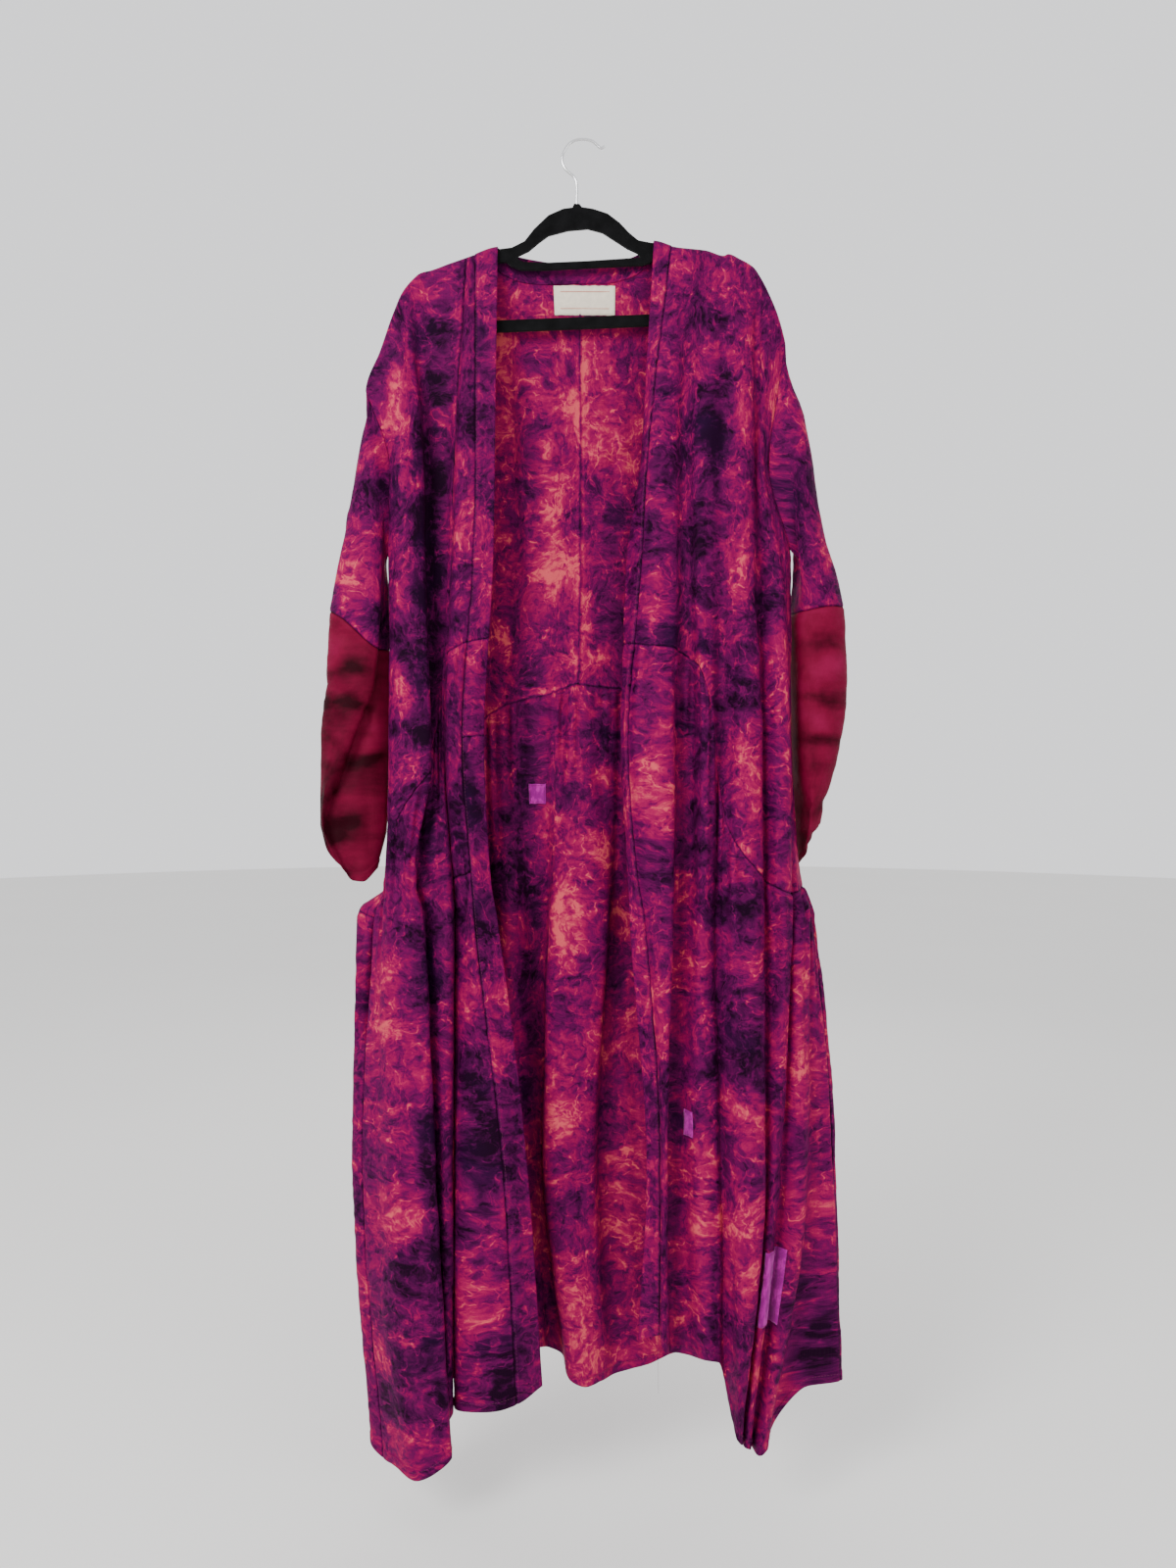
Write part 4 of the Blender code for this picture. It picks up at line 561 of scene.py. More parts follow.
class Sleeve(Cloth):
    """A flattened tube from the armhole to the cuff, read as a closed sheet."""

    def __init__(self, folds, inner, front, front_fold, back, back_fold, turn_out):
        super().__init__(folds, SLEEVE_CLOUDS, SLEEVE_CREASES, turn_out, 0.0)
        self.inner = inner
        self.edges = ((front, front_fold), (back, back_fold))
        self.shoulder = front.top(np.array([float(front_fold)]))[0]
        self.measure(len(folds), SLEEVE_LEVELS)

    def turn(self, s):
        """Angle round the armhole: 0 at the shoulder point, pi at the underarm."""
        s = s % len(self.folds)
        back = math.pi * (1 + (s - self.inner) / (len(self.folds) - self.inner))
        return np.where(s <= self.inner, math.pi * s / self.inner, back)

    def top(self, s):
        return self.shoulder + (ARMHOLE_END - self.shoulder) * (1 - np.cos(self.turn(s))) / 2

    def round_value(self, values, s):
        count = len(values)
        places = np.concatenate([[-1.0], np.arange(count), [count]])
        return read_curve(places, np.array([values[-1], *values, values[0]], float), s % count)

    def seam(self, s):
        return self.round_value([f.seam for f in self.folds], s)

    def down(self, s, h):
        k = SLEEVE_KNOTS
        top, hem = self.top(s), self.round_value([f.hem for f in self.folds], s)
        upper = top + (h - k[0]) / (k[3] - k[0]) * (k[3] - top)
        lower = k[6] + (h - k[6]) / (k[7] - k[6]) * (hem - k[6])
        return np.where(h < k[3], upper, np.where(h > k[6], lower, h))

    def knot(self, s, down):
        k, top = SLEEVE_KNOTS, self.top(s)
        return np.where(down < k[3], k[0] + (down - top) / (k[3] - top) * (k[3] - k[0]), down)

    def armhole(self, s):
        """Points of the body's armhole edge that the sleeve's edge follows."""
        down = self.top(s)
        sides = []
        for sheet, fold in self.edges:
            place = np.full_like(s, float(fold))
            sides.append(sheet.points(place, sheet.knot(place, down)))
        front = (self.turn(s) <= math.pi)[:, None]
        edge = np.where(front, sides[0], sides[1])
        way = math.copysign(1.0, self.x[0, 0])
        edge[:, 0] += way * ARMHOLE_SEPARATION
        return edge

    def points(self, s, h):
        s, h = np.broadcast_arrays(np.asarray(s, float), np.asarray(h, float))
        shape, s, h = s.shape, s.ravel() % len(self.folds), h.ravel()
        plan = across(self.plan_rows(SLEEVE_KNOTS, h), s, closed=True)
        place = np.column_stack([plan, -self.down(s, h)])
        free = eased(np.clip((h - SLEEVE_KNOTS[0]) / ARMHOLE_BLEND, 0, 1)[:, None])
        edge = self.armhole(s)
        edge[:, 2] = place[:, 2]
        return (edge * (1 - free) + place * free).reshape(*shape, 3)


Cut = namedtuple("Cut", "node sheet span top bottom edges seed cloth", defaults=("dyed_silk",))
# edges: left, right, top and bottom, each seam, turned, edge, hem or shoulder

FINE_ACROSS, FINE_DOWN = 3.2, 4.4       # spacing of the modelled cloth
FINE_TRIM = 2.6                         # the same for the neck band
FINE_MEND = 1.6                         # and for the label and mends
PLEAT_PITCH, PLEAT_REACH = 12.5, 85.0   # the small gathers: one from the next, and how far they run down
EDGE_ROWS = {
    "seam": (0, 0.9, 2.0, 3.8),
    "turned": (0, 0.9, 2.0, 3.8),
    "edge": (0, 1.6),
    "hem": (0, 1.5, 5.0, 9.0, 10.4, 11.4, 12.4, 15.0),
    "shoulder": (0,),
}
EDGE_GAP = {"seam": -0.5, "turned": -0.4}      # sewn edges meet, and lie a hair over each other
# Lines along a seam: height (or tone, for the painted shade and painted highlight), distance from the edge
# and half width
SEAM_PAINTED_SHADE, SEAM_PAINTED_HIGHLIGHT, SEAM_GROOVE = (-0.9, 0.0, 1.1), (0.3, 3.2, 1.3), (-1.3, 0.0, 1.5)
PUCKER, PUCKER_REACH = 0.28, 4.5        # the cloth's small puckers beside a seam
HEM_RISE = 0.5                          # how far a turned hem stands up, and how uneven it is
DYE_SHIFT = 137.0                       # how far on the dye starts in the next piece
REVERSE = {"dyed_silk": "dyed_silk_reverse"}
LATTICE = 64                # cells before the seeded noise repeats


def value_noise(seed, u, v, cell):
    """Smooth seeded noise between -1 and 1."""
    lattice = np.random.default_rng(seed).uniform(-1, 1, (LATTICE, LATTICE))
    a, b = u / cell, v / cell
    i, j = np.floor(a).astype(int), np.floor(b).astype(int)
    x, y = a - i, b - j
    x, y = eased(x), eased(y)
    i0, i1, j0, j1 = (corner % LATTICE for corner in (i, i + 1, j, j + 1))
    near = lattice[i0, j0] * (1 - x) + lattice[i1, j0] * x
    far = lattice[i0, j1] * (1 - x) + lattice[i1, j1] * x
    return near * (1 - y) + far * y


def crumple(u, v):
    """Washed silk's soft humps with narrow creases between them, about -1 to 1."""
    drift = 7.0 * value_noise(1, u, v, 31.0)
    u, v = u + drift, v + 0.7 * drift
    hump = value_noise(2, u, v * 0.8, 42.0)
    crease = 0.5 - np.abs(value_noise(3, u, v, 19.0))
    fine = 0.4 - np.abs(value_noise(4, u, v, 9.0))
    return 0.8 * hump + 0.8 * crease + 0.35 * fine


def crease_height(creases, x, down):
    """Height of the listed creases at a place, their ends fading out."""
    total = np.zeros_like(x)
    wobble = 3.0 * value_noise(5, x, down, 23.0)
    for crease in creases:
        run, drop = crease.x1 - crease.x0, crease.down1 - crease.down0
        length = math.hypot(run, drop)
        t = ((x - crease.x0) * run + (down - crease.down0) * drop) / length ** 2
        off = ((x - crease.x0) * drop - (down - crease.down0) * run) / length + wobble
        fade = np.clip(t * 3 + 0.3, 0, 1) * np.clip((1 - t) * 3 + 0.3, 0, 1)
        total += crease.high * eased(fade) * np.exp(-(off / crease.wide) ** 2)
    return total


def dye_and_shade_tone(clouds, x, down):
    """How dark (-) or pale (+) the dye, with the shade painted among it, is at a place, before its fine
    feathering.
    """
    x = x + 9.0 * value_noise(6, x, down, 27.0)
    down = down + 13.0 * value_noise(7, x, down, 33.0)
    total = np.zeros_like(x)
    for cloud in clouds:
        reach = ((x - cloud.x) / cloud.wide) ** 2 + ((down - cloud.down) / cloud.high) ** 2
        total += cloud.tone * np.exp(-0.8 * reach)
    return np.clip(total, -1.3, 1.0)


def spread(length, step, start, end):
    """Shares of a side: close together at a seam or hem, even between."""
    near, far = np.array(EDGE_ROWS[start]), length - np.array(EDGE_ROWS[end])[::-1]
    count = max(1, round((far[0] - near[-1]) / step))
    return np.concatenate([near, np.linspace(near[-1], far[0], count + 1)[1:-1], far]) / length


def fine_places(cut, heights):
    """Places across a cut, evenly spaced along the cloth."""
    first, last = cut.span
    probe = np.linspace(first, last, int(24 * (last - first)) + 1)
    rows = heights(probe, np.array([0.15, 0.5, 0.85, 1.0]))
    steps = path_lengths(cut.sheet.points(np.broadcast_to(probe, rows.shape), rows), 1)
    length = running(steps.mean(axis=0))
    shares = spread(length[-1], FINE_ACROSS, cut.edges[0], cut.edges[1])
    return np.interp(shares * length[-1], length, probe)


def cut_heights(cut):
    """Heights of a cut's rows, from its top line to its bottom line."""
    return lambda s, shares: cut.top(s) + np.asarray(shares)[:, None] * (cut.bottom(s) - cut.top(s))


def fine_heights(cut, places):
    """Rows of heights down a cut, with the turn over the shoulder where it has one."""
    heights = cut_heights(cut)
    middle = places[len(places) // 2: len(places) // 2 + 1]
    probe = heights(middle, np.linspace(0, 1, 80))
    length = path_lengths(cut.sheet.points(np.broadcast_to(middle, probe.shape), probe), 0).sum()
    h = heights(places, spread(length, FINE_DOWN, cut.edges[2], cut.edges[3]))
    if cut.edges[2] != "shoulder":
        return h
    stretch = (CHEST - TOP_KNOT) / (CHEST - cut.sheet.top(places))
    arc = SHOULDER_ROLL * (1 - np.cos(np.radians([0, 15, 30, 45, 60, 75])))
    start = h[0] + SHOULDER_ROLL * stretch
    rest = start + (h - h[0]) / (h[-1] - h[0]) * (h[-1] - start)
    return np.concatenate([h[0] + arc[:, None] * stretch, rest])


def outward(points, tube, turn):
    """Outward directions of a grid of points."""
    if tube:
        wide = np.concatenate([points[:, -2:-1], points, points[:, 1:2]], axis=1)
        side = wide[:, 2:] - wide[:, :-2]
    else:
        side = np.gradient(points, axis=1)
    return unit(np.cross(side, np.gradient(points, axis=0))) * turn


def sheet_relief(sheet, s, points):
    """Height of the cloth's creases, gathers and crumpling above the plain sheet."""
    cloth = bpy.context.scene.kimono_cloth
    x, down = points[..., 0], -points[..., 2]
    u = sheet.cloth(s)
    height = cloth.crumple / MM * crumple(u, down) + cloth.crease * crease_height(sheet.creases, x, down)
    below = down - sheet.seam(s)
    under = np.clip(below / 5, 0, 1) * np.exp(-below / PLEAT_REACH)
    swell = np.where(below > 0, under, 0.35 * np.exp(below / 10))
    phase = u / PLEAT_PITCH + 0.8 * value_noise(8, u, 0 * u, 26.0) + 0.15 * value_noise(9, u, down, 40.0)
    uneven = 0.6 + 0.6 * value_noise(10, u, 0 * u, 18.0)
    return height + sheet.gathered * cloth.gather / MM * swell * uneven * np.sin(2 * math.pi * phase)


def edge_distances(points):
    """How far each place is from the left, right, top and bottom edge, and how far along it."""
    wide = np.pad(np.cumsum(path_lengths(points, 1), axis=1), ((0, 0), (1, 0)))
    long = np.pad(np.cumsum(path_lengths(points, 0), axis=0), ((1, 0), (0, 0)))
    sides = (wide, wide[:, -1:] - wide, long, long[-1:] - long)
    return zip(sides, (long, long, wide, wide))


def ridge(away, high, middle, wide):
    """A rounded ridge along an edge, or a groove where it is negative."""
    return high * np.exp(-((away - middle) / wide) ** 2)


def seam_painted_light(edges, points):
    """Painted shade along sewn edges, with a painted highlight a little way beside them."""
    total = np.zeros(points.shape[:2])
    for kind, (away, run) in zip(edges, edge_distances(points)):
        if kind in ("seam", "turned"):
            # painted shade on the seam line, and a painted highlight about 3 mm off it
            total += ridge(away, *SEAM_PAINTED_SHADE) + ridge(away, *SEAM_PAINTED_HIGHLIGHT)
    return total


def edge_relief(edges, points):
    """Height given by the cut's own edges: sewn edges roll under and pucker, hems stand up."""
    height = np.zeros(points.shape[:2])
    for kind, (away, run) in zip(edges, edge_distances(points)):
        if kind in ("seam", "turned"):
            pucker = value_noise(11, run, 0 * run, 5.5) + 0.5 * np.sin(run / 1.9)
            height += ridge(away, *SEAM_GROOVE)
            height += PUCKER * pucker * np.exp(-away / PUCKER_REACH) * np.clip(away / 1.5, 0, 1)
        if kind == "hem":
            hem = bpy.context.scene.kimono_cloth.hem / MM
            height += HEM_RISE / (1 + np.exp(np.clip((away - hem) * 2.5, -30, 30)))
            height += ridge(away, -0.55, hem, 1.1)
            height += HEM_RISE * value_noise(12, run, 0 * run, 9.0) * np.exp(-away / 12)
    return height


def draw_in(points, edges):
    """Close the seams: each sewn side is drawn in, or out, by half its gap."""
    out = points.copy()
    for kind, edge, inner in zip(edges, (np.s_[:, 0], np.s_[:, -1], np.s_[0], np.s_[-1]),
                                 (np.s_[:, 1], np.s_[:, -2], np.s_[1], np.s_[-2])):
        out[edge] += unit(points[inner] - points[edge]) * EDGE_GAP.get(kind, 0) / 2
    return out


def grid_object(name, points, flip):
    """A new grid laid over rows of points, its faces outwards."""
    rows, columns = points.shape[:2]
    bpy.ops.object.select_all(action="DESELECT")
    bpy.ops.mesh.primitive_grid_add(x_subdivisions=columns - 1, y_subdivisions=rows - 1, size=1)
    piece = bpy.context.object
    piece.name = piece.data.name = name
    if len(piece.data.vertices) != rows * columns:
        raise RuntimeError(f"{name}: the grid has the wrong number of points")
    placed = points[::-1] if flip else points
    piece.data.vertices.foreach_set("co", (placed * MM).ravel().astype(np.float32))
    piece.location = (0, 0, 0)
    piece.data.update()
    return piece


def vertex_values(piece, values, flip):
    return (values[::-1] if flip else values).reshape(len(piece.data.vertices), -1)


def add_cloth_map(piece, u, v, flip):
    """UV map in metres along the cloth, so that the dye and weave follow it."""
    layer = piece.data.uv_layers[0] if piece.data.uv_layers else piece.data.uv_layers.new()
    layer.name = "cloth"
    corners = np.empty(len(piece.data.loops), dtype=np.int32)
    piece.data.loops.foreach_get("vertex_index", corners)
    uv = vertex_values(piece, np.stack([u, v], axis=-1) * MM, flip)[corners]
    layer.data.foreach_set("uv", uv.ravel().astype(np.float32))


def add_tone(piece, tone, flip):
    layer = piece.data.attributes.new("tone", "FLOAT", "POINT")
    layer.data.foreach_set("value", vertex_values(piece, tone, flip).ravel().astype(np.float32))


def add_wall(piece, outside, reverse, thickness):
    """Give the sheet its cloth and turn it into a closed wall, its reverse in the second material."""
    piece.data.materials.append(finish(outside))
    piece.data.materials.append(finish(reverse))
    wall = piece.modifiers.new("Wall", "SOLIDIFY")
    wall.thickness = thickness
    wall.offset = 0
    wall.material_offset = 1
    bpy.ops.object.modifier_apply(modifier=wall.name)
    bpy.ops.object.shade_smooth()


def make_cut(cut, thickness):
    """Model one cut piece of cloth, dress it and place it over its solid."""
    tube = isinstance(cut.sheet, Sleeve)
    places = fine_places(cut, cut_heights(cut))
    h = fine_heights(cut, places)
    s = np.broadcast_to(places, h.shape)
    plain = cut.sheet.points(s, h)
    turn = cut.sheet.turn_out
    normals = outward(plain, tube, turn)
    lift = sheet_relief(cut.sheet, s, plain) + edge_relief(cut.edges, plain)
    if cut.edges[2] == "shoulder":
        lift = lift * np.clip((-plain[..., 2] - cut.sheet.top(s)) / 14, 0, 1)
    points = draw_in(plain, cut.edges) + normals * lift[..., None]
    if tube:
        points[:, -1] = points[:, 0]
    flip = turn < 0
    piece = grid_object("cloth_" + cut.node, points, flip)
    down = -plain[..., 2]
    shift = DYE_SHIFT * cut.seed
    add_cloth_map(piece, cut.sheet.cloth(s) + shift, down + 0.7 * shift, flip)
    # the tone: the dye's clouds with painted shade in valleys, and painted shade and highlight along the
    # seams
    add_tone(piece, dye_and_shade_tone(cut.sheet.clouds, plain[..., 0], down) + seam_painted_light(cut.edges, plain), flip)
    if tube:
        weld(piece)
    add_wall(piece, cut.cloth, REVERSE.get(cut.cloth, cut.cloth), thickness)
    declare(piece, cut.node)


def weld(piece):
    bpy.ops.object.mode_set(mode="EDIT")
    bpy.ops.mesh.select_all(action="SELECT")
    bpy.ops.mesh.remove_doubles(threshold=0.000001)
    bpy.ops.object.mode_set(mode="OBJECT")


def declare(piece, node):
    """Attach the piece to what it moves with, and hide the part that it stands for."""
    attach(piece, "root")
    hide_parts(node)


def make_neck_band(back, thickness):
    """Band standing up from the back's neck seam, its ends on the shoulder seams."""
    first, last = span(back, "neck_left", "neck_right")
    probe = np.linspace(first, last, 220)
    seam_line = back.points(probe, np.full_like(probe, TOP_KNOT))
    length = running(path_lengths(seam_line, 0))
    s = np.interp(spread(length[-1], FINE_TRIM, "turned", "turned") * length[-1], length, probe)
    seam = back.points(s, np.full_like(s, TOP_KNOT))
    edge = read_curve(np.arange(len(NECK_EDGE)), np.array(NECK_EDGE, float).T, s - first).T
    edge[:, 2] *= -1
    share = spread(NECK_BAND, FINE_TRIM, "edge", "turned")[:, None, None]
    plain = edge * (1 - share) + seam * share
    normals = outward(plain, False, 1)
    edges = ("turned", "turned", "edge", "turned")
    u, down = np.broadcast_to(back.cloth(s), plain.shape[:2]), -plain[..., 2]
    lift = 0.35 * crumple(u, down) + 0.6 * edge_relief(edges, plain)
    points = draw_in(plain, edges) + normals * lift[..., None]
    piece = grid_object("cloth_neck_band", points, False)
    add_cloth_map(piece, u + 20 * DYE_SHIFT, down, False)
    add_tone(piece, dye_and_shade_tone(BACK_DYE_AND_SHADE, plain[..., 0], down) - 0.4, False)
    add_wall(piece, "dyed_silk", "dyed_silk", thickness)
    declare(piece, "band_neck")


def face_places(sheet, s, down, lift):
    """Places a lift above the modelled cloth, on the side that the viewer sees."""
    h = sheet.knot(s, down)
    step = 0.02
    plain = sheet.points(s, h)
    side = sheet.points(s + step, h) - sheet.points(s - step, h)
    fall = sheet.points(s, h + 1.0) - sheet.points(s, h - 1.0)
    out = unit(np.cross(side, fall)) * sheet.turn_out
    relief = sheet_relief(sheet, s, plain)
    to_viewer = -1.0 if sheet.facing > 0 else 1.0
    return plain + out * (relief + to_viewer * lift)[..., None], out * to_viewer


def lay_on(sheet, mend, cloth):
    """A label or mend that lies on the cloth, pressed to it along its sewn edge."""
    start, end = (sheet.place(fold) + share for fold, share in (mend.start, mend.end))
    probe = np.linspace(start, end, 120)
    middle = sheet.points(probe, sheet.knot(probe, np.full_like(probe, (mend.top + mend.bottom) / 2)))
    length = running(path_lengths(middle, 0))
    s = np.interp(spread(length[-1], FINE_MEND, "seam", "seam") * length[-1], length, probe)
    tall = mend.bottom - mend.top
    down = (mend.top + spread(tall, FINE_MEND, "seam", "seam") * tall)[:, None] * np.ones(len(s))
    s = np.broadcast_to(s, down.shape)
    corner = np.minimum(np.minimum(down - mend.top, mend.bottom - down),
                        length[-1] * np.minimum(s - start, end - s) / (end - start))
    lift = MEND_EDGE + MEND_SWELL * (1 - np.exp(-corner / 2.2)) + 0.25 * value_noise(13, down, s * 20, 7.0)
    frayed = 0.5 * value_noise(14, s * 30, down, 4.0) * np.exp(-corner / 1.5)
    points, out = face_places(sheet, s, down + frayed, lift)
    flip = outward(points, False, 1)[0, 0] @ out[0, 0] < 0
    piece = grid_object("sewn_" + mend.name, points, flip)
    add_cloth_map(piece, sheet.cloth(s), down, flip)
    add_tone(piece, np.zeros(down.shape), flip)
    add_wall(piece, cloth, cloth, MEND_WALL)
    declare(piece, mend.name)


def new_curve(name):
    """A new curve at the origin."""
    bpy.ops.object.select_all(action="DESELECT")
    bpy.ops.curve.primitive_bezier_curve_add(location=(0, 0, 0))
    bpy.context.object.name = name
    return bpy.context.object.data


def curve_to_mesh(curve, thick, roundness, material):
    """Give the curve its thickness, make it a mesh and say what it moves with."""
    curve.bevel_depth = thick / 2 * MM
    curve.bevel_resolution = roundness
    curve.use_fill_caps = True
    bpy.ops.object.convert(target="MESH")
    piece = bpy.context.object
    piece.data.materials.clear()
    piece.data.materials.append(finish(material))
    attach(piece, "root")
    return piece


def stitched_rows(sheet, paths, lift):
    """Points on the cloth's face and its outward directions, along paths given as (places, depths)."""
    return [face_places(sheet, s, down, np.full_like(s, lift)) for s, down in paths]


def sew(name, material, rows, stitch):
    """Running stitches along rows of face points, as one joined mesh."""
    curve = new_curve(name)
    curve.splines.clear()
    for points, out in rows:
        length = running(path_lengths(points, 0))
        for start in np.arange(stitch.pitch / 2, length[-1] - stitch.length, stitch.pitch):
            at = start + stitch.length * np.array(STITCH_SHARES)
            place = np.column_stack([np.interp(at, length, points[:, axis]) for axis in range(3)])
            away = np.column_stack([np.interp(at, length, out[:, axis]) for axis in range(3)])
            place = (place + away * np.array(STITCH_RISE)[:, None]) * MM
            spline = curve.splines.new("POLY")
            spline.points.add(len(place) - 1)
            for point, co in zip(spline.points, place):
                point.co = (*co, 1)
    curve_to_mesh(curve, stitch.thread, 0, material)
    bpy.ops.object.shade_smooth()


def border(sheet, mend, inset):
    """The four sides of a label or mend, a stitch's width in from its edge."""
    start, end = (sheet.place(fold) + share for fold, share in (mend.start, mend.end))
    corners = np.array([start, end])
    middle = np.full(2, (mend.top + mend.bottom) / 2)
    ends = sheet.points(corners, sheet.knot(corners, middle))
    share = inset / max(np.linalg.norm(ends[1] - ends[0]), 1.0) * (end - start)
    s = np.linspace(start + share, end - share, 60)
    down = np.linspace(mend.top + inset, mend.bottom - inset, 40)
    return [(s, np.full_like(s, down[0])), (s, np.full_like(s, down[-1])),
            (np.full_like(down, s[0]), down), (np.full_like(down, s[-1]), down)]


def hem_line(sheet, first, last, above):
    """A row a little above a sheet's hem, between two folds."""
    s = np.linspace(first + 0.05, last - 0.05, 900)
    hem = -sheet.points(s, np.full_like(s, HEM_KNOT))[:, 2]
    return s, hem - above


def shader_node(tree, kind, inputs=None, **settings):
    """Add a node; an input given another node's socket is linked to it."""
    made = tree.nodes.new(kind)
    for name, value in settings.items():
        setattr(made, name, value)
    for name, value in (inputs or {}).items():
        if isinstance(value, bpy.types.NodeSocket):
            tree.links.new(value, made.inputs[name])
        else:
            made.inputs[name].default_value = value
    return made


def calculate(tree, operation, a, b=0.0, c=0.0):
    return shader_node(tree, "ShaderNodeMath", {0: a, 1: b, 2: c}, operation=operation).outputs[0]


def move(tree, operation, a, inputs):
    """Vector arithmetic."""
    return shader_node(tree, "ShaderNodeVectorMath", {0: a, **inputs}, operation=operation).outputs[0]


def remap(tree, value, low, high, to_low=0.0, to_high=1.0):
    return shader_node(tree, "ShaderNodeMapRange", {"Value": value, "From Min": low, "From Max": high,
                                                    "To Min": to_low, "To Max": to_high}).outputs["Result"]


def noise(tree, vector, scale, detail=3.0, roughness=0.55, output="Fac"):
    return shader_node(tree, "ShaderNodeTexNoise", {"Vector": vector, "Scale": scale, "Detail": detail,
                                                    "Roughness": roughness}).outputs[output]


def stretched(tree, vector, scale, location=(0, 0, 0), turn=0.0):
    return shader_node(tree, "ShaderNodeMapping", {"Vector": vector, "Scale": scale, "Location": location,
                                                   "Rotation": (0, 0, turn)}).outputs[0]


def mixed(tree, share, a, b):
    """Colour between two others; the mix node's colour sockets share their names, so they go by number."""
    return shader_node(tree, "ShaderNodeMix", {0: share, 6: a, 7: b}, data_type="RGBA").outputs[2]


def new_group(name, inputs, output):
    """Node group with named sockets, given as (name, socket type): its tree, inputs and one output."""
    tree = bpy.data.node_groups.new(name, "ShaderNodeTree")
    for label, kind in inputs:
        tree.interface.new_socket(label, in_out="INPUT", socket_type=kind)
    tree.interface.new_socket(output[0], in_out="OUTPUT", socket_type=output[1])
    return tree, tree.nodes.new("NodeGroupInput").outputs, tree.nodes.new("NodeGroupOutput").inputs[0]


def colour_ramp(tree, value, stops):
    """Colour that follows a value, from stops given as (value, colour)."""
    ramp = shader_node(tree, "ShaderNodeValToRGB", {"Fac": value})
    made = ramp.color_ramp.elements
    for index, (place, colour) in enumerate(stops):
        stop = made[index] if index < 2 else made.new(place)
        stop.position, stop.color = place, (*colour, 1)
    return ramp.outputs["Color"]


def add_parts(tree, value, parts):
    """Add patterns to a value, each less its own centre and times its share."""
    for part, centre, share in parts:
        part = calculate(tree, "MULTIPLY", calculate(tree, "SUBTRACT", part, centre), share)
        value = calculate(tree, "ADD", value, part)
    return value


def scrunch_dye_group():
    """Cloth dyed while scrunched up: dark clouds, feathered edges and pale veins."""
    tree, given, out = new_group(
        "Scrunch dye",
        [("Vector", "NodeSocketVector"), ("Tone", "NodeSocketFloat"), ("Shift", "NodeSocketFloat")],
        ("Color", "NodeSocketColor"))
    pull = noise(tree, given["Vector"], 15.0, 4.0, output="Color")
    pull = move(tree, "SUBTRACT", pull, {1: (0.5, 0.5, 0.5)})
    drawn = move(tree, "ADD", given["Vector"], {1: move(tree, "SCALE", pull, {"Scale": 0.06})})
    clouds = noise(tree, drawn, 16.0, 4.0, 0.55)
    blots = noise(tree, stretched(tree, drawn, (1, 1.3, 1), (3, 1, 0)), 70.0, 4.0, 0.70)
    feather = noise(tree, stretched(tree, drawn, (1.0, 0.4, 1.0), turn=0.5), 150.0, 4.0, 0.62)
    cross = noise(tree, stretched(tree, drawn, (0.4, 1.0, 1.0), turn=0.3), 135.0, 4.0, 0.62)
    turn = remap(tree, noise(tree, given["Vector"], 17.0, 1.0), 0.4, 0.6)
    brush = shader_node(tree, "ShaderNodeMix", {"Factor": turn, "A": feather, "B": cross}).outputs["Result"]
    wedge = noise(tree, stretched(tree, drawn, (1.0, 0.22, 1.0), (2, 5, 0), 0.15), 120.0, 3.0, 0.6)
    wedge = remap(tree, wedge, 0.60, 0.66)
    spot = noise(tree, stretched(tree, drawn, (1, 1, 1), (8, 4, 0)), 105.0, 4.0, 0.7)
    spot = remap(tree, spot, 0.55, 0.60)
    line = noise(tree, stretched(tree, drawn, (1, 0.7, 1), (7, 2, 0)), 26.0, 2.0, 0.5)
    line = calculate(tree, "ABSOLUTE", calculate(tree, "SUBTRACT", line, 0.5))
    vein = remap(tree, line, 0.0, 0.012, 1.0, 0.0)
    cells = {"Vector": stretched(tree, drawn, (1, 0.6, 1)), "Scale": 42.0}
    net = shader_node(tree, "ShaderNodeTexVoronoi", cells, feature="DISTANCE_TO_EDGE").outputs["Distance"]
    net = remap(tree, net, 0.0, 0.04, 1.0, 0.0)
    patch = remap(tree, noise(tree, given["Vector"], 11.0, 2.0), 0.42, 0.62)
    pale = calculate(tree, "MAXIMUM", vein, calculate(tree, "MULTIPLY", net, patch))
    pale = calculate(tree, "MULTIPLY", pale, remap(tree, brush, 0.35, 0.62))
    # the Tone input brings painted shade (fold valleys, seams) and painted highlight (beside seams) along
    # with the dye's places
    value = calculate(tree, "MULTIPLY_ADD", given["Tone"], 0.31, 0.47)
    value = calculate(tree, "ADD", value, given["Shift"])
    value = add_parts(tree, value, ((clouds, 0.5, 1.5), (blots, 0.5, 1.2), (brush, 0.5, 0.5),
                                    (pale, 0.1, 0.36), (wedge, 0.1, 0.17), (spot, 0.25, -0.16)))
    cloth = bpy.context.scene.kimono_cloth
    dyed = colour_ramp(tree, value, (
        (0.0, cloth.plum), (0.22, cloth.purple), (0.42, cloth.violet_red), (0.58, cloth.magenta),
        (0.76, cloth.pink), (0.95, cloth.salmon)))
    blue = noise(tree, stretched(tree, drawn, (1, 1, 1), (5, 9, 0)), 12.0, 2.0)
    blue = remap(tree, blue, 0.52, 0.7)
    dark = remap(tree, value, 0.5, 0.2)
    share = calculate(tree, "MULTIPLY", calculate(tree, "MULTIPLY", blue, dark), 0.6)
    tree.links.new(mixed(tree, share, dyed, (*cloth.violet_dark, 1)), out)


THREADS = 400.0             # scale of the weave's waves, which puts them about 0.8 mm apart
CLOTH_SPECULAR = 0.03       # raw silk has next to no gloss of its own


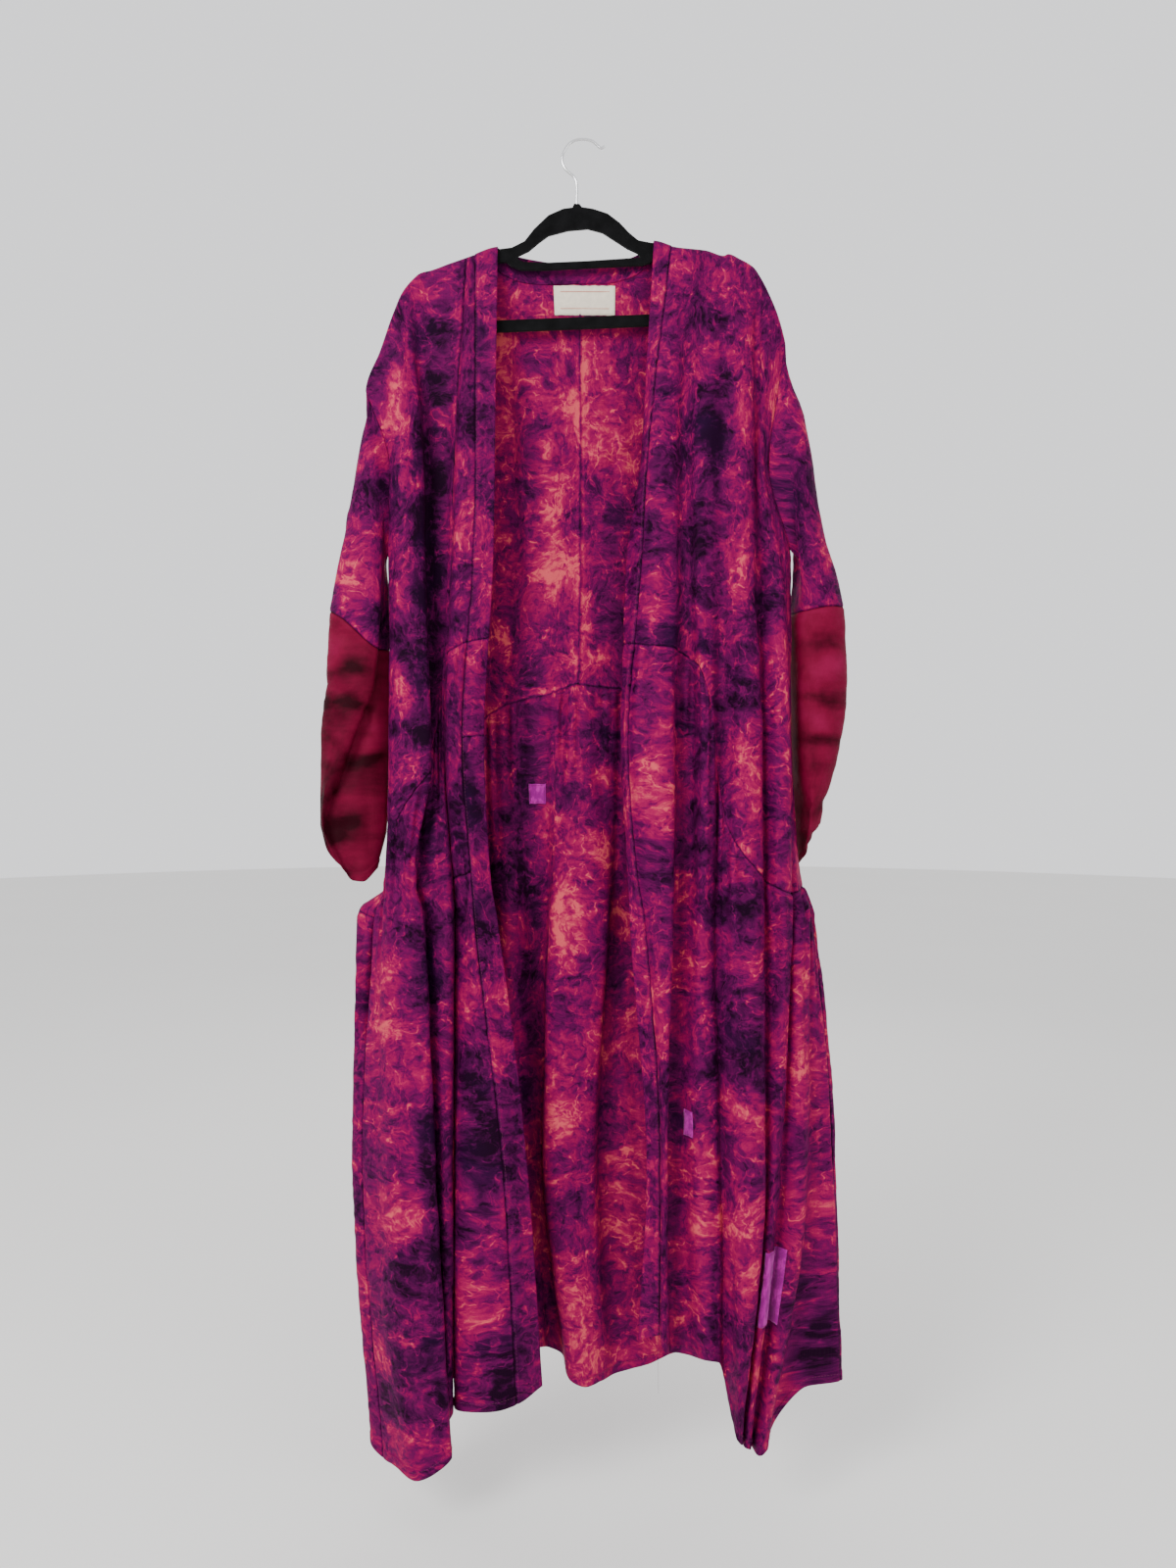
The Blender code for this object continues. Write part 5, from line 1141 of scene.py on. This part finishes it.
def silk_weave_group():
    """Plain weave and fine slubs of habotai silk, as a height."""
    tree, given, out = new_group(
        "Silk weave", [("Vector", "NodeSocketVector")], ("Height", "NodeSocketFloat"))
    waves = {"Vector": given["Vector"], "Scale": THREADS}
    warp, weft = (shader_node(tree, "ShaderNodeTexWave", waves, bands_direction=way,
                              wave_profile="SIN").outputs["Fac"] for way in "XY")
    slub = noise(tree, stretched(tree, given["Vector"], (0.12, 1, 1)), 1400.0, 2.0)
    crinkle = noise(tree, given["Vector"], 190.0, 4.0, 0.6)
    height = calculate(tree, "MULTIPLY", calculate(tree, "MULTIPLY", warp, weft), 0.16)
    height = calculate(tree, "ADD", height, calculate(tree, "MULTIPLY", slub, 0.14))
    tree.links.new(calculate(tree, "ADD", height, calculate(tree, "MULTIPLY", crinkle, 0.7)), out)


def new_material(name, values):
    """A material with its shader's values, its nodes and the shader's inputs."""
    mat = bpy.data.materials.new(name)
    mat.use_nodes = True
    shader = mat.node_tree.nodes["Principled BSDF"].inputs
    for label, value in values.items():
        shader[label].default_value = value
    return mat, mat.node_tree, shader


def raise_by(tree, shader, height, strength, distance):
    """Fine relief of a material from a height pattern."""
    settings = {"Height": height, "Strength": strength, "Distance": distance}
    raised = shader_node(tree, "ShaderNodeBump", settings)
    tree.links.new(raised.outputs["Normal"], shader["Normal"])


def cloth_material(name, roughness, sheen, sheen_tint, bump):
    """Cloth without its colour: its shader, its map and its relief from the silk weave."""
    mat, tree, shader = new_material(name, {
        "Roughness": roughness, "Sheen Weight": sheen, "Sheen Roughness": 0.45,
        "Sheen Tint": (*sheen_tint, 1), "Specular IOR Level": CLOTH_SPECULAR})
    vector = shader_node(tree, "ShaderNodeUVMap", uv_map="cloth").outputs["UV"]
    weave = shader_node(tree, "ShaderNodeGroup", node_tree=bpy.data.node_groups["Silk weave"])
    tree.links.new(vector, weave.inputs["Vector"])
    raise_by(tree, shader, weave.outputs["Height"], bump, 0.0012)
    return mat, tree, shader["Base Color"], vector


def laid_tone(tree):
    """The laid dark and pale places of a piece."""
    # on the dyed silk this tone holds painted shade and painted highlight as well as the dye's places
    return shader_node(tree, "ShaderNodeAttribute", attribute_name="tone").outputs["Fac"]


def dyed_silk(name, shift):
    """Tie-dyed silk; the shift makes a whole face paler or darker."""
    mat, tree, base_color, vector = cloth_material(name, 0.5, 0.02, (1.0, 0.2, 0.6), 0.9)
    dye = shader_node(tree, "ShaderNodeGroup", node_tree=bpy.data.node_groups["Scrunch dye"])
    tree.links.new(vector, dye.inputs["Vector"])
    tree.links.new(laid_tone(tree), dye.inputs["Tone"])
    dye.inputs["Shift"].default_value = shift
    tree.links.new(dye.outputs["Color"], base_color)
    return mat


def crimson_silk(name):
    """Plain crimson silk, darkened in stripes where it lay creased in the dye."""
    cloth = bpy.context.scene.kimono_cloth
    mat, tree, base_color, vector = cloth_material(name, 0.48, 0.01, (1.0, 0.2, 0.3), 0.5)
    haze = noise(tree, vector, 22.0, 4.0, 0.6)
    streak = noise(tree, stretched(tree, vector, (0.25, 1, 1), turn=0.35), 90.0, 4.0, 0.6)
    value = calculate(tree, "MULTIPLY_ADD", laid_tone(tree), 0.38, 0.6)
    value = add_parts(tree, value, ((haze, 0.5, 0.9), (streak, 0.5, 0.35)))
    stops = ((0.12, cloth.crimson_dark), (0.6, cloth.crimson), (0.95, cloth.crimson_pale))
    tree.links.new(colour_ramp(tree, value, stops), base_color)
    return mat


def violet_silk(name):
    """The brighter violet silk of the mends and of the small patch that paints a glint, a little uneven in
    its dye.
    """
    cloth = bpy.context.scene.kimono_cloth
    mat, tree, base_color, vector = cloth_material(name, 0.42, 0.2, (1.0, 0.8, 1.0), 0.5)
    haze = noise(tree, stretched(tree, vector, (1, 0.4, 1), turn=0.4), 160.0, 4.0, 0.65)
    share = remap(tree, haze, 0.46, 0.60)
    tree.links.new(mixed(tree, share, (*cloth.violet, 1), (*cloth.violet_pale, 1)), base_color)
    return mat


def label_satin(name):
    """The woven label's cream satin."""
    cloth = bpy.context.scene.kimono_cloth
    mat, tree, base_color, vector = cloth_material(name, 0.5, 0.15, (1, 1, 1), 0.5)
    haze = noise(tree, vector, 150.0, 4.0, 0.6)
    worn = tuple(0.86 * part for part in cloth.label)
    tree.links.new(mixed(tree, remap(tree, haze, 0.3, 0.7), (*worn, 1), (*cloth.label, 1)), base_color)
    return mat


def flock(name):
    """Black flocking: short fibres that catch light at the edges."""
    mat, tree, shader = new_material(name, {
        "Roughness": 0.95, "Sheen Weight": 0.05, "Sheen Roughness": 0.4, "Specular IOR Level": 0.1})
    place = shader_node(tree, "ShaderNodeTexCoord").outputs["Object"]
    fibres = noise(tree, place, 2600.0, 2.0)
    nap = noise(tree, place, 70.0, 3.0)
    colour = mixed(tree, remap(tree, nap, 0.3, 0.7), (0.0012, 0.0012, 0.0014, 1), (0.004, 0.004, 0.0045, 1))
    tree.links.new(colour, shader["Base Color"])
    raise_by(tree, shader, fibres, 0.6, 0.0006)
    return mat


def bright_wire(name):
    """Polished steel wire with faint drawing marks."""
    mat, tree, shader = new_material(name, {"Metallic": 1.0})
    place = shader_node(tree, "ShaderNodeTexCoord").outputs["Object"]
    marks = noise(tree, place, 900.0, 3.0)
    colour = mixed(tree, marks, (0.56, 0.56, 0.57, 1), (0.78, 0.78, 0.79, 1))
    tree.links.new(colour, shader["Base Color"])
    tree.links.new(remap(tree, marks, 0.3, 0.7, 0.12, 0.26), shader["Roughness"])
    return mat


def finish(name):
    """A material of this coat by name, made the first time that it is asked for."""
    for group, build in (("Silk weave", silk_weave_group), ("Scrunch dye", scrunch_dye_group)):
        if group not in bpy.data.node_groups:
            build()
    cloth = bpy.context.scene.kimono_cloth
    make, *settings = {
        "dyed_silk": (dyed_silk, 0.0),
        "dyed_silk_reverse": (dyed_silk, 0.1),
        "crimson_silk": (crimson_silk,),
        "violet_silk": (violet_silk,),
        "label_cloth": (label_satin,),
        "black_flock": (flock,),
        "bright_steel": (bright_wire,),
        "silk_thread": (sewing_thread, cloth.purple, cloth.magenta),
        "label_thread": (sewing_thread, cloth.label, (0.85, 0.78, 0.66)),
        "coral_thread": (sewing_thread, (0.50, 0.07, 0.04), (0.62, 0.12, 0.07)),
    }[name]
    return bpy.data.materials.get("coat_" + name) or make("coat_" + name, *settings)


def sewing_thread(name, dark, light):
    """Twisted sewing thread, between a dark and a light colour."""
    mat, tree, shader = new_material(name, {"Roughness": 0.6})
    place = shader_node(tree, "ShaderNodeTexCoord").outputs["Object"]
    twist = noise(tree, place, 1500.0, 2.0)
    tree.links.new(mixed(tree, twist, (*dark, 1), (*light, 1)), shader["Base Color"])
    return mat


def colour_property(name, description, default):
    return FloatVectorProperty(name=name, description=description, default=default, subtype="COLOR", size=3,
                               min=0.0, max=1.0)


class KimonoCloth(bpy.types.PropertyGroup):
    """Sizes and dyes of the coat's cloth"""
    thickness: FloatProperty(name="Silk thickness", description="Wall of one layer of silk",
                             default=0.0008, min=0.0003, max=0.002, unit="LENGTH", precision=4)
    band_thickness: FloatProperty(name="Band thickness", description="Wall of the doubled opening bands",
                                  default=0.0018, min=0.0005, max=0.004, unit="LENGTH", precision=4)
    crumple: FloatProperty(name="Crumpling", description="Height of the silk's fine crumpling",
                           default=0.0011, min=0.0, max=0.002, unit="LENGTH", precision=4)
    gather: FloatProperty(name="Gathering", description="Height of the small gathers under the waist seams",
                          default=0.0024, min=0.0, max=0.004, unit="LENGTH", precision=4)
    hem: FloatProperty(name="Hem width", description="Width of the turned hems",
                       default=0.0114, min=0.005, max=0.03, unit="LENGTH", precision=4)
    crease: FloatProperty(name="Creases", description="How strongly the laid creases show",
                          default=1.3, min=0.0, max=2.0, subtype="FACTOR")
    plum: colour_property("Plum", "The dye's darkest places", (0.008, 0.0001, 0.008))
    purple: colour_property("Purple", "Dark clouds of dye", (0.042, 0.0002, 0.033))
    violet_red: colour_property("Violet red", "Between the clouds and the ground", (0.096, 0.0003, 0.053))
    magenta: colour_property("Magenta", "The ground of the dyed silk", (0.180, 0.0004, 0.054))
    pink: colour_property("Pink", "Paler ground", (0.29, 0.006, 0.062))
    salmon: colour_property("Salmon", "Veins and the palest places", (0.50, 0.060, 0.078))
    violet_dark: colour_property("Dark violet", "Blue side of the dark clouds", (0.014, 0.0006, 0.022))
    crimson: colour_property("Crimson", "Plain silk of the lower sleeves", (0.130, 0.0025, 0.022))
    crimson_dark: colour_property("Dark crimson", "Stripes across the lower sleeves", (0.018, 0.0002, 0.003))
    crimson_pale: colour_property("Pale crimson", "Where the lower sleeves are worn", (0.19, 0.005, 0.040))
    violet: colour_property("Violet", "Silk of the mends", (0.20, 0.003, 0.15))
    violet_pale: colour_property("Pale violet", "Paler silk of the mends", (0.36, 0.012, 0.25))
    label: colour_property("Label", "Cream of the neck label", (0.72, 0.64, 0.52))


class KimonoStage(bpy.types.PropertyGroup):
    """Floor and lights round the coat"""
    floor: colour_property("Floor", "Pale floor", (0.78, 0.77, 0.75))
    key: FloatProperty(name="Key light", description="Power of the main soft light", default=78.0, min=0.0)
    fill: FloatProperty(name="Fill light", description="Power of the weaker light on the other side",
                        default=16.0, min=0.0)
    sky: FloatProperty(name="Surroundings", description="Strength of the pale surroundings",
                       default=1.45, min=0.0)


def hanging_sheets():
    """The three sheets and two sleeves that every piece is read from."""
    names = [fold.name for fold in BACK]
    neck = range(names.index("neck_left") + 1, names.index("neck_right"))
    rolled = [0 if i in neck else 1 for i in range(len(BACK))]
    last = len(BACK) - 1
    left = Sheet(LEFT_FRONT, -1, [1] * len(LEFT_FRONT), LEFT_DYE_AND_SHADE, LEFT_CREASES, beyond=(BACK[1], None))
    right = Sheet(RIGHT_FRONT, -1, [1] * len(RIGHT_FRONT), RIGHT_DYE_AND_SHADE, RIGHT_CREASES,
                  beyond=(None, BACK[-2]))
    partings = (Parting(0, None, ARMHOLE_END, ARMHOLE_GAP), Parting(last, None, ARMHOLE_END, ARMHOLE_GAP),
                Parting(0, POCKET_START, POCKET_END, POCKET_GAP))
    back = Sheet(BACK, 1, rolled, BACK_DYE_AND_SHADE, BACK_CREASES, partings, (LEFT_FRONT[1], RIGHT_FRONT[-2]))
    left_sleeve = Sleeve(LEFT_SLEEVE, LEFT_INNER, left, 0, back, 0, -1)
    right_sleeve = Sleeve(RIGHT_SLEEVE, RIGHT_INNER, right, len(RIGHT_FRONT) - 1, back, last, 1)
    return left, right, back, left_sleeve, right_sleeve


def at_knot(height):
    return lambda s: np.full_like(s, height, dtype=float)


SHOULDER_LINE, HEM_LINE = at_knot(TOP_KNOT), at_knot(HEM_KNOT)


def skirt_line(sheet, share):
    """A line across a skirt, a share of the way from the waist seam to the hem."""
    return lambda s: sheet.seam(s) + share * (HEM_KNOT - sheet.seam(s))


def span(sheet, first, last):
    return sheet.place(first), sheet.place(last)


def cut_pieces(sheet, thickness, rows):
    """Cut pieces of one sheet, given as (node, span, top line, bottom line, edges, seed of the dye)."""
    for node, across_folds, top, bottom, edges, seed in rows:
        make_cut(Cut(node, sheet, across_folds, top, bottom, edges, seed), thickness)


class KIMONO_OT_back(bpy.types.Operator):
    """Two back bodice halves, the gathered back skirt and the neck band"""
    bl_idname = "kimono.back"
    bl_label = "Back"

    def execute(self, context):
        back = hanging_sheets()[2]
        cloth = context.scene.kimono_cloth
        left, right = span(back, "left_seam", "centre"), span(back, "centre", "right_seam")
        cut_pieces(back, cloth.thickness, (
            ("back_bodice_left", left, SHOULDER_LINE, back.seam, ("turned", "seam", "shoulder", "seam"), 1),
            ("back_bodice_right", right, SHOULDER_LINE, back.seam, ("seam", "turned", "shoulder", "seam"), 2),
            ("back_skirt", (left[0], right[1]), back.seam, HEM_LINE, ("turned", "turned", "seam", "hem"), 3)))
        make_neck_band(back, cloth.band_thickness)
        return {"FINISHED"}


class KIMONO_OT_left_front(bpy.types.Operator):
    """Front cloth on the left: bodice, gathered skirt, pieced strips and the inner panel"""
    bl_idname = "kimono.left_front"
    bl_label = "Left front"

    def execute(self, context):
        left = hanging_sheets()[0]
        main, strip = span(left, "side", "strip_seam"), span(left, "strip_seam", "band_seam")
        joint = skirt_line(left, STRIP_DROP)
        cut_pieces(left, context.scene.kimono_cloth.thickness, (
            ("front_bodice_left", main, SHOULDER_LINE, left.seam, ("turned", "seam", "shoulder", "seam"), 4),
            ("front_skirt_left", main, left.seam, HEM_LINE, ("turned", "seam", "seam", "hem"), 5),
            ("strip_left_upper", strip, SHOULDER_LINE, left.seam, ("seam", "seam", "shoulder", "seam"), 6),
            ("strip_left_lower", strip, left.seam, joint, ("seam", "seam", "seam", "seam"), 7),
            ("inner_skirt_left", strip, joint, HEM_LINE, ("seam", "seam", "seam", "hem"), 8)))
        return {"FINISHED"}


class KIMONO_OT_right_front(bpy.types.Operator):
    """Front cloth on the right: bodice and gathered skirt"""
    bl_idname = "kimono.right_front"
    bl_label = "Right front"

    def execute(self, context):
        right = hanging_sheets()[1]
        main = span(right, "band_seam", "side")
        cut_pieces(right, context.scene.kimono_cloth.thickness, (
            ("front_bodice_right", main, SHOULDER_LINE, right.seam,
             ("seam", "turned", "shoulder", "seam"), 9),
            ("front_skirt_right", main, right.seam, HEM_LINE, ("seam", "turned", "seam", "hem"), 10)))
        return {"FINISHED"}


class KIMONO_OT_bands(bpy.types.Operator):
    """Doubled bands down both front openings, pieced from several lengths"""
    bl_idname = "kimono.bands"
    bl_label = "Opening bands"

    def execute(self, context):
        left, right = hanging_sheets()[:2]
        thickness = context.scene.kimono_cloth.band_thickness
        band = span(left, "band_seam", "opening")
        joint = skirt_line(left, STRIP_DROP * BAND_JOINT)
        cut_pieces(left, thickness, (
            ("band_left_upper", band, SHOULDER_LINE, left.seam, ("seam", "edge", "shoulder", "seam"), 11),
            ("band_left_middle", band, left.seam, joint, ("seam", "edge", "seam", "seam"), 12),
            ("band_left_lower", band, joint, HEM_LINE, ("seam", "edge", "seam", "edge"), 13)))
        band = span(right, "opening", "band_seam")
        cut_pieces(right, thickness, (
            ("band_right_upper", band, SHOULDER_LINE, right.seam, ("edge", "seam", "shoulder", "seam"), 14),
            ("band_right_lower", band, right.seam, HEM_LINE, ("edge", "seam", "seam", "edge"), 15)))
        return {"FINISHED"}


class KIMONO_OT_sleeves(bpy.types.Operator):
    """Dyed upper sleeves and plain crimson lower sleeves"""
    bl_idname = "kimono.sleeves"
    bl_label = "Sleeves"

    def execute(self, context):
        thickness = context.scene.kimono_cloth.thickness
        armhole, cuff = at_knot(SLEEVE_KNOTS[0]), at_knot(SLEEVE_KNOTS[-1])
        for side, sleeve, seed in zip(("left", "right"), hanging_sheets()[3:], (16, 18)):
            def joint(s, sleeve=sleeve):
                return sleeve.knot(s, sleeve.seam(s))
            around = (0, len(sleeve.folds))
            make_cut(Cut("sleeve_upper_" + side, sleeve, around, armhole, joint,
                         ("edge", "edge", "edge", "seam"), seed), thickness)
            sleeve.clouds = STRIPES
            make_cut(Cut("sleeve_lower_" + side, sleeve, around, joint, cuff,
                         ("edge", "edge", "seam", "hem"), seed + 1, "crimson_silk"), thickness)
        return {"FINISHED"}


class KIMONO_OT_mends(bpy.types.Operator):
    """Neck label, the bright violet mends and a small violet patch that paints a glint, with their stitches
    """
    bl_idname = "kimono.mends"
    bl_label = "Label and mends"

    def execute(self, context):
        right, back = hanging_sheets()[1:3]
        lay_on(back, LABEL, "label_cloth")
        # the last of these is the patch that paints a glint
        mends = ((back, BACK_PATCH), (right, SIDE_PATCH), (right, PAINTED_GLINT_PATCH))
        for sheet, mend in mends:
            lay_on(sheet, mend, "violet_silk")
        sew("label_stitches", "label_thread",
            stitched_rows(back, border(back, LABEL, LABEL_INSET), LABEL_LIFT), LABEL_STITCH)
        start, end = (back.place(fold) + share for fold, share in (LABEL.start, LABEL.end))
        s = np.linspace(start + 0.1 * (end - start), end - 0.1 * (end - start), 80)
        lines = [(s, np.full_like(s, LABEL.top + drop)) for drop in LABEL_LINES]
        sew("label_woven_lines", "coral_thread",
            stitched_rows(back, lines, LABEL_LIFT), WOVEN_LINE)
        rows = []
        for sheet, mend in mends:
            rows += stitched_rows(sheet, border(sheet, mend, MEND_INSET), MEND_LIFT)
        sew("mend_stitches", "silk_thread", rows, MEND_STITCH)
        return {"FINISHED"}


class KIMONO_OT_stitching(bpy.types.Operator):
    """Rows of small stitches along the hems and beside the bands' seams"""
    bl_idname = "kimono.stitching"
    bl_label = "Stitching"

    def execute(self, context):
        left, right, back = hanging_sheets()[:3]
        cloth = context.scene.kimono_cloth
        hem, face = cloth.hem / MM - HEM_STITCH_INSET, cloth.thickness / MM + 0.45
        rows = []
        for sheet in (left, right, back):
            rows += stitched_rows(sheet, [hem_line(sheet, 0, len(sheet.folds) - 1, hem)], face)
        for sheet, toward in ((left, 1), (right, -1)):
            seam = sheet.place("band_seam")
            start = sheet.top(np.array([float(seam)]))[0] + BAND_STITCH_START
            down = np.linspace(start, BAND_STITCH_END, 900)
            s = np.full_like(down, seam + BAND_STITCH_SHARE * toward)
            rows += stitched_rows(sheet, [(s, down)], cloth.band_thickness / 2 / MM + 0.2)
        sew("coat_stitches", "silk_thread", rows, COAT_STITCH)
        return {"FINISHED"}


class KIMONO_OT_hanger(bpy.types.Operator):
    """Flocked hanger body and its smooth wire hook"""
    bl_idname = "kimono.hanger"
    bl_label = "Hanger"

    def execute(self, context):
        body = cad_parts["hanger_frame"]
        for slot in body.material_slots:
            slot.material = finish("black_flock")
        curve = new_curve("wire_hook")
        spline = curve.splines[0]
        spline.bezier_points.add(len(HOOK) - 2)
        for point, (x, z) in zip(spline.bezier_points, HOOK):
            point.co = (x * MM, 0, z * MM)
            point.handle_left_type = point.handle_right_type = "AUTO"
        curve.resolution_u = 5
        wire = curve_to_mesh(curve, WIRE, 4, "bright_steel")
        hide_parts("hanger_hook")
        bpy.ops.object.shade_smooth_by_angle(angle=math.radians(40))
        return {"FINISHED"}


class KIMONO_OT_stage(bpy.types.Operator):
    """Pale floor, soft lights and the camera"""
    bl_idname = "kimono.stage"
    bl_label = "Stage"

    def execute(self, context):
        stage = context.scene.kimono_stage
        bpy.ops.object.select_all(action="DESELECT")
        bpy.ops.mesh.primitive_circle_add(vertices=96, radius=FLOOR_RADIUS, fill_type="NGON",
                                          location=(0, 0, FLOOR_DOWN))
        floor = context.object
        floor.name = "floor"
        bpy.ops.object.transform_apply(location=True)
        mat, tree, shader = new_material("pale_floor", {"Roughness": 0.8})
        place = shader_node(tree, "ShaderNodeTexCoord").outputs["Object"]
        haze = noise(tree, place, 1.5, 3.0)
        pale = tuple(0.96 * part for part in stage.floor)
        tree.links.new(mixed(tree, haze, (*pale, 1), (*stage.floor, 1)), shader["Base Color"])
        floor.data.materials.append(mat)
        world = bpy.data.worlds.new("pale_room")
        world.use_nodes = True
        sky = world.node_tree.nodes["Background"].inputs
        sky["Color"].default_value = (0.90, 0.90, 0.92, 1)
        sky["Strength"].default_value = stage.sky
        context.scene.world = world
        for name, place, aim, size, power in (
                ("key", (-1.5, -2.1, 0.6), (0, 0, -0.7), 1.3, stage.key),
                ("fill", (1.9, -1.9, -0.4), (0, 0, -0.8), 1.6, stage.fill),
                ("rear", (0.4, 2.4, 0.5), (0, 0, -0.7), 1.6, stage.fill)):
            bpy.ops.object.light_add(type="AREA", location=place)
            light = context.object
            light.name = name + "_light"
            light.data.shape = "DISK"
            light.data.size = size
            light.data.energy = power
            light.rotation_euler = (Vector(aim) - Vector(place)).to_track_quat("-Z", "Y").to_euler()
        bpy.ops.object.camera_add(location=CAMERA_PLACE, rotation=(math.radians(CAMERA_PITCH), 0, 0))
        camera = context.object
        camera.name = "camera"
        camera.data.lens = CAMERA_LENS
        camera.data.sensor_width = 36
        camera.data.sensor_fit = "AUTO"
        camera.data.clip_end = 50
        context.scene.camera = camera
        return {"FINISHED"}


class KIMONO_PT_coat(bpy.types.Panel):
    """Makes the coat piece by piece"""
    bl_label = "Kimono Coat"
    bl_idname = "KIMONO_PT_coat"
    bl_space_type = "VIEW_3D"
    bl_region_type = "UI"
    bl_category = "Kimono Coat"

    def draw(self, context):
        column = self.layout.column()
        for settings in (context.scene.kimono_cloth, context.scene.kimono_stage):
            for name in settings.__annotations__:
                column.prop(settings, name)
        for operator in OPERATORS:
            column.operator(operator.bl_idname)


OPERATORS = (KIMONO_OT_back, KIMONO_OT_left_front, KIMONO_OT_right_front, KIMONO_OT_bands, KIMONO_OT_sleeves,
             KIMONO_OT_mends, KIMONO_OT_stitching, KIMONO_OT_hanger, KIMONO_OT_stage)
CLASSES = (KimonoCloth, KimonoStage, *OPERATORS, KIMONO_PT_coat)


def register():
    for cls in CLASSES:
        bpy.utils.register_class(cls)
    bpy.types.Scene.kimono_cloth = bpy.props.PointerProperty(type=KimonoCloth)
    bpy.types.Scene.kimono_stage = bpy.props.PointerProperty(type=KimonoStage)


def unregister():
    del bpy.types.Scene.kimono_stage
    del bpy.types.Scene.kimono_cloth
    for cls in reversed(CLASSES):
        bpy.utils.unregister_class(cls)


def main():
    """Make every piece and the stage."""
    register()
    bpy.ops.kimono.back()
    bpy.ops.kimono.left_front()
    bpy.ops.kimono.right_front()
    bpy.ops.kimono.bands()
    bpy.ops.kimono.sleeves()
    bpy.ops.kimono.mends()
    bpy.ops.kimono.stitching()
    bpy.ops.kimono.hanger()
    bpy.ops.kimono.stage()
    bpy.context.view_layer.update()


if __name__ == "__main__":
    main()
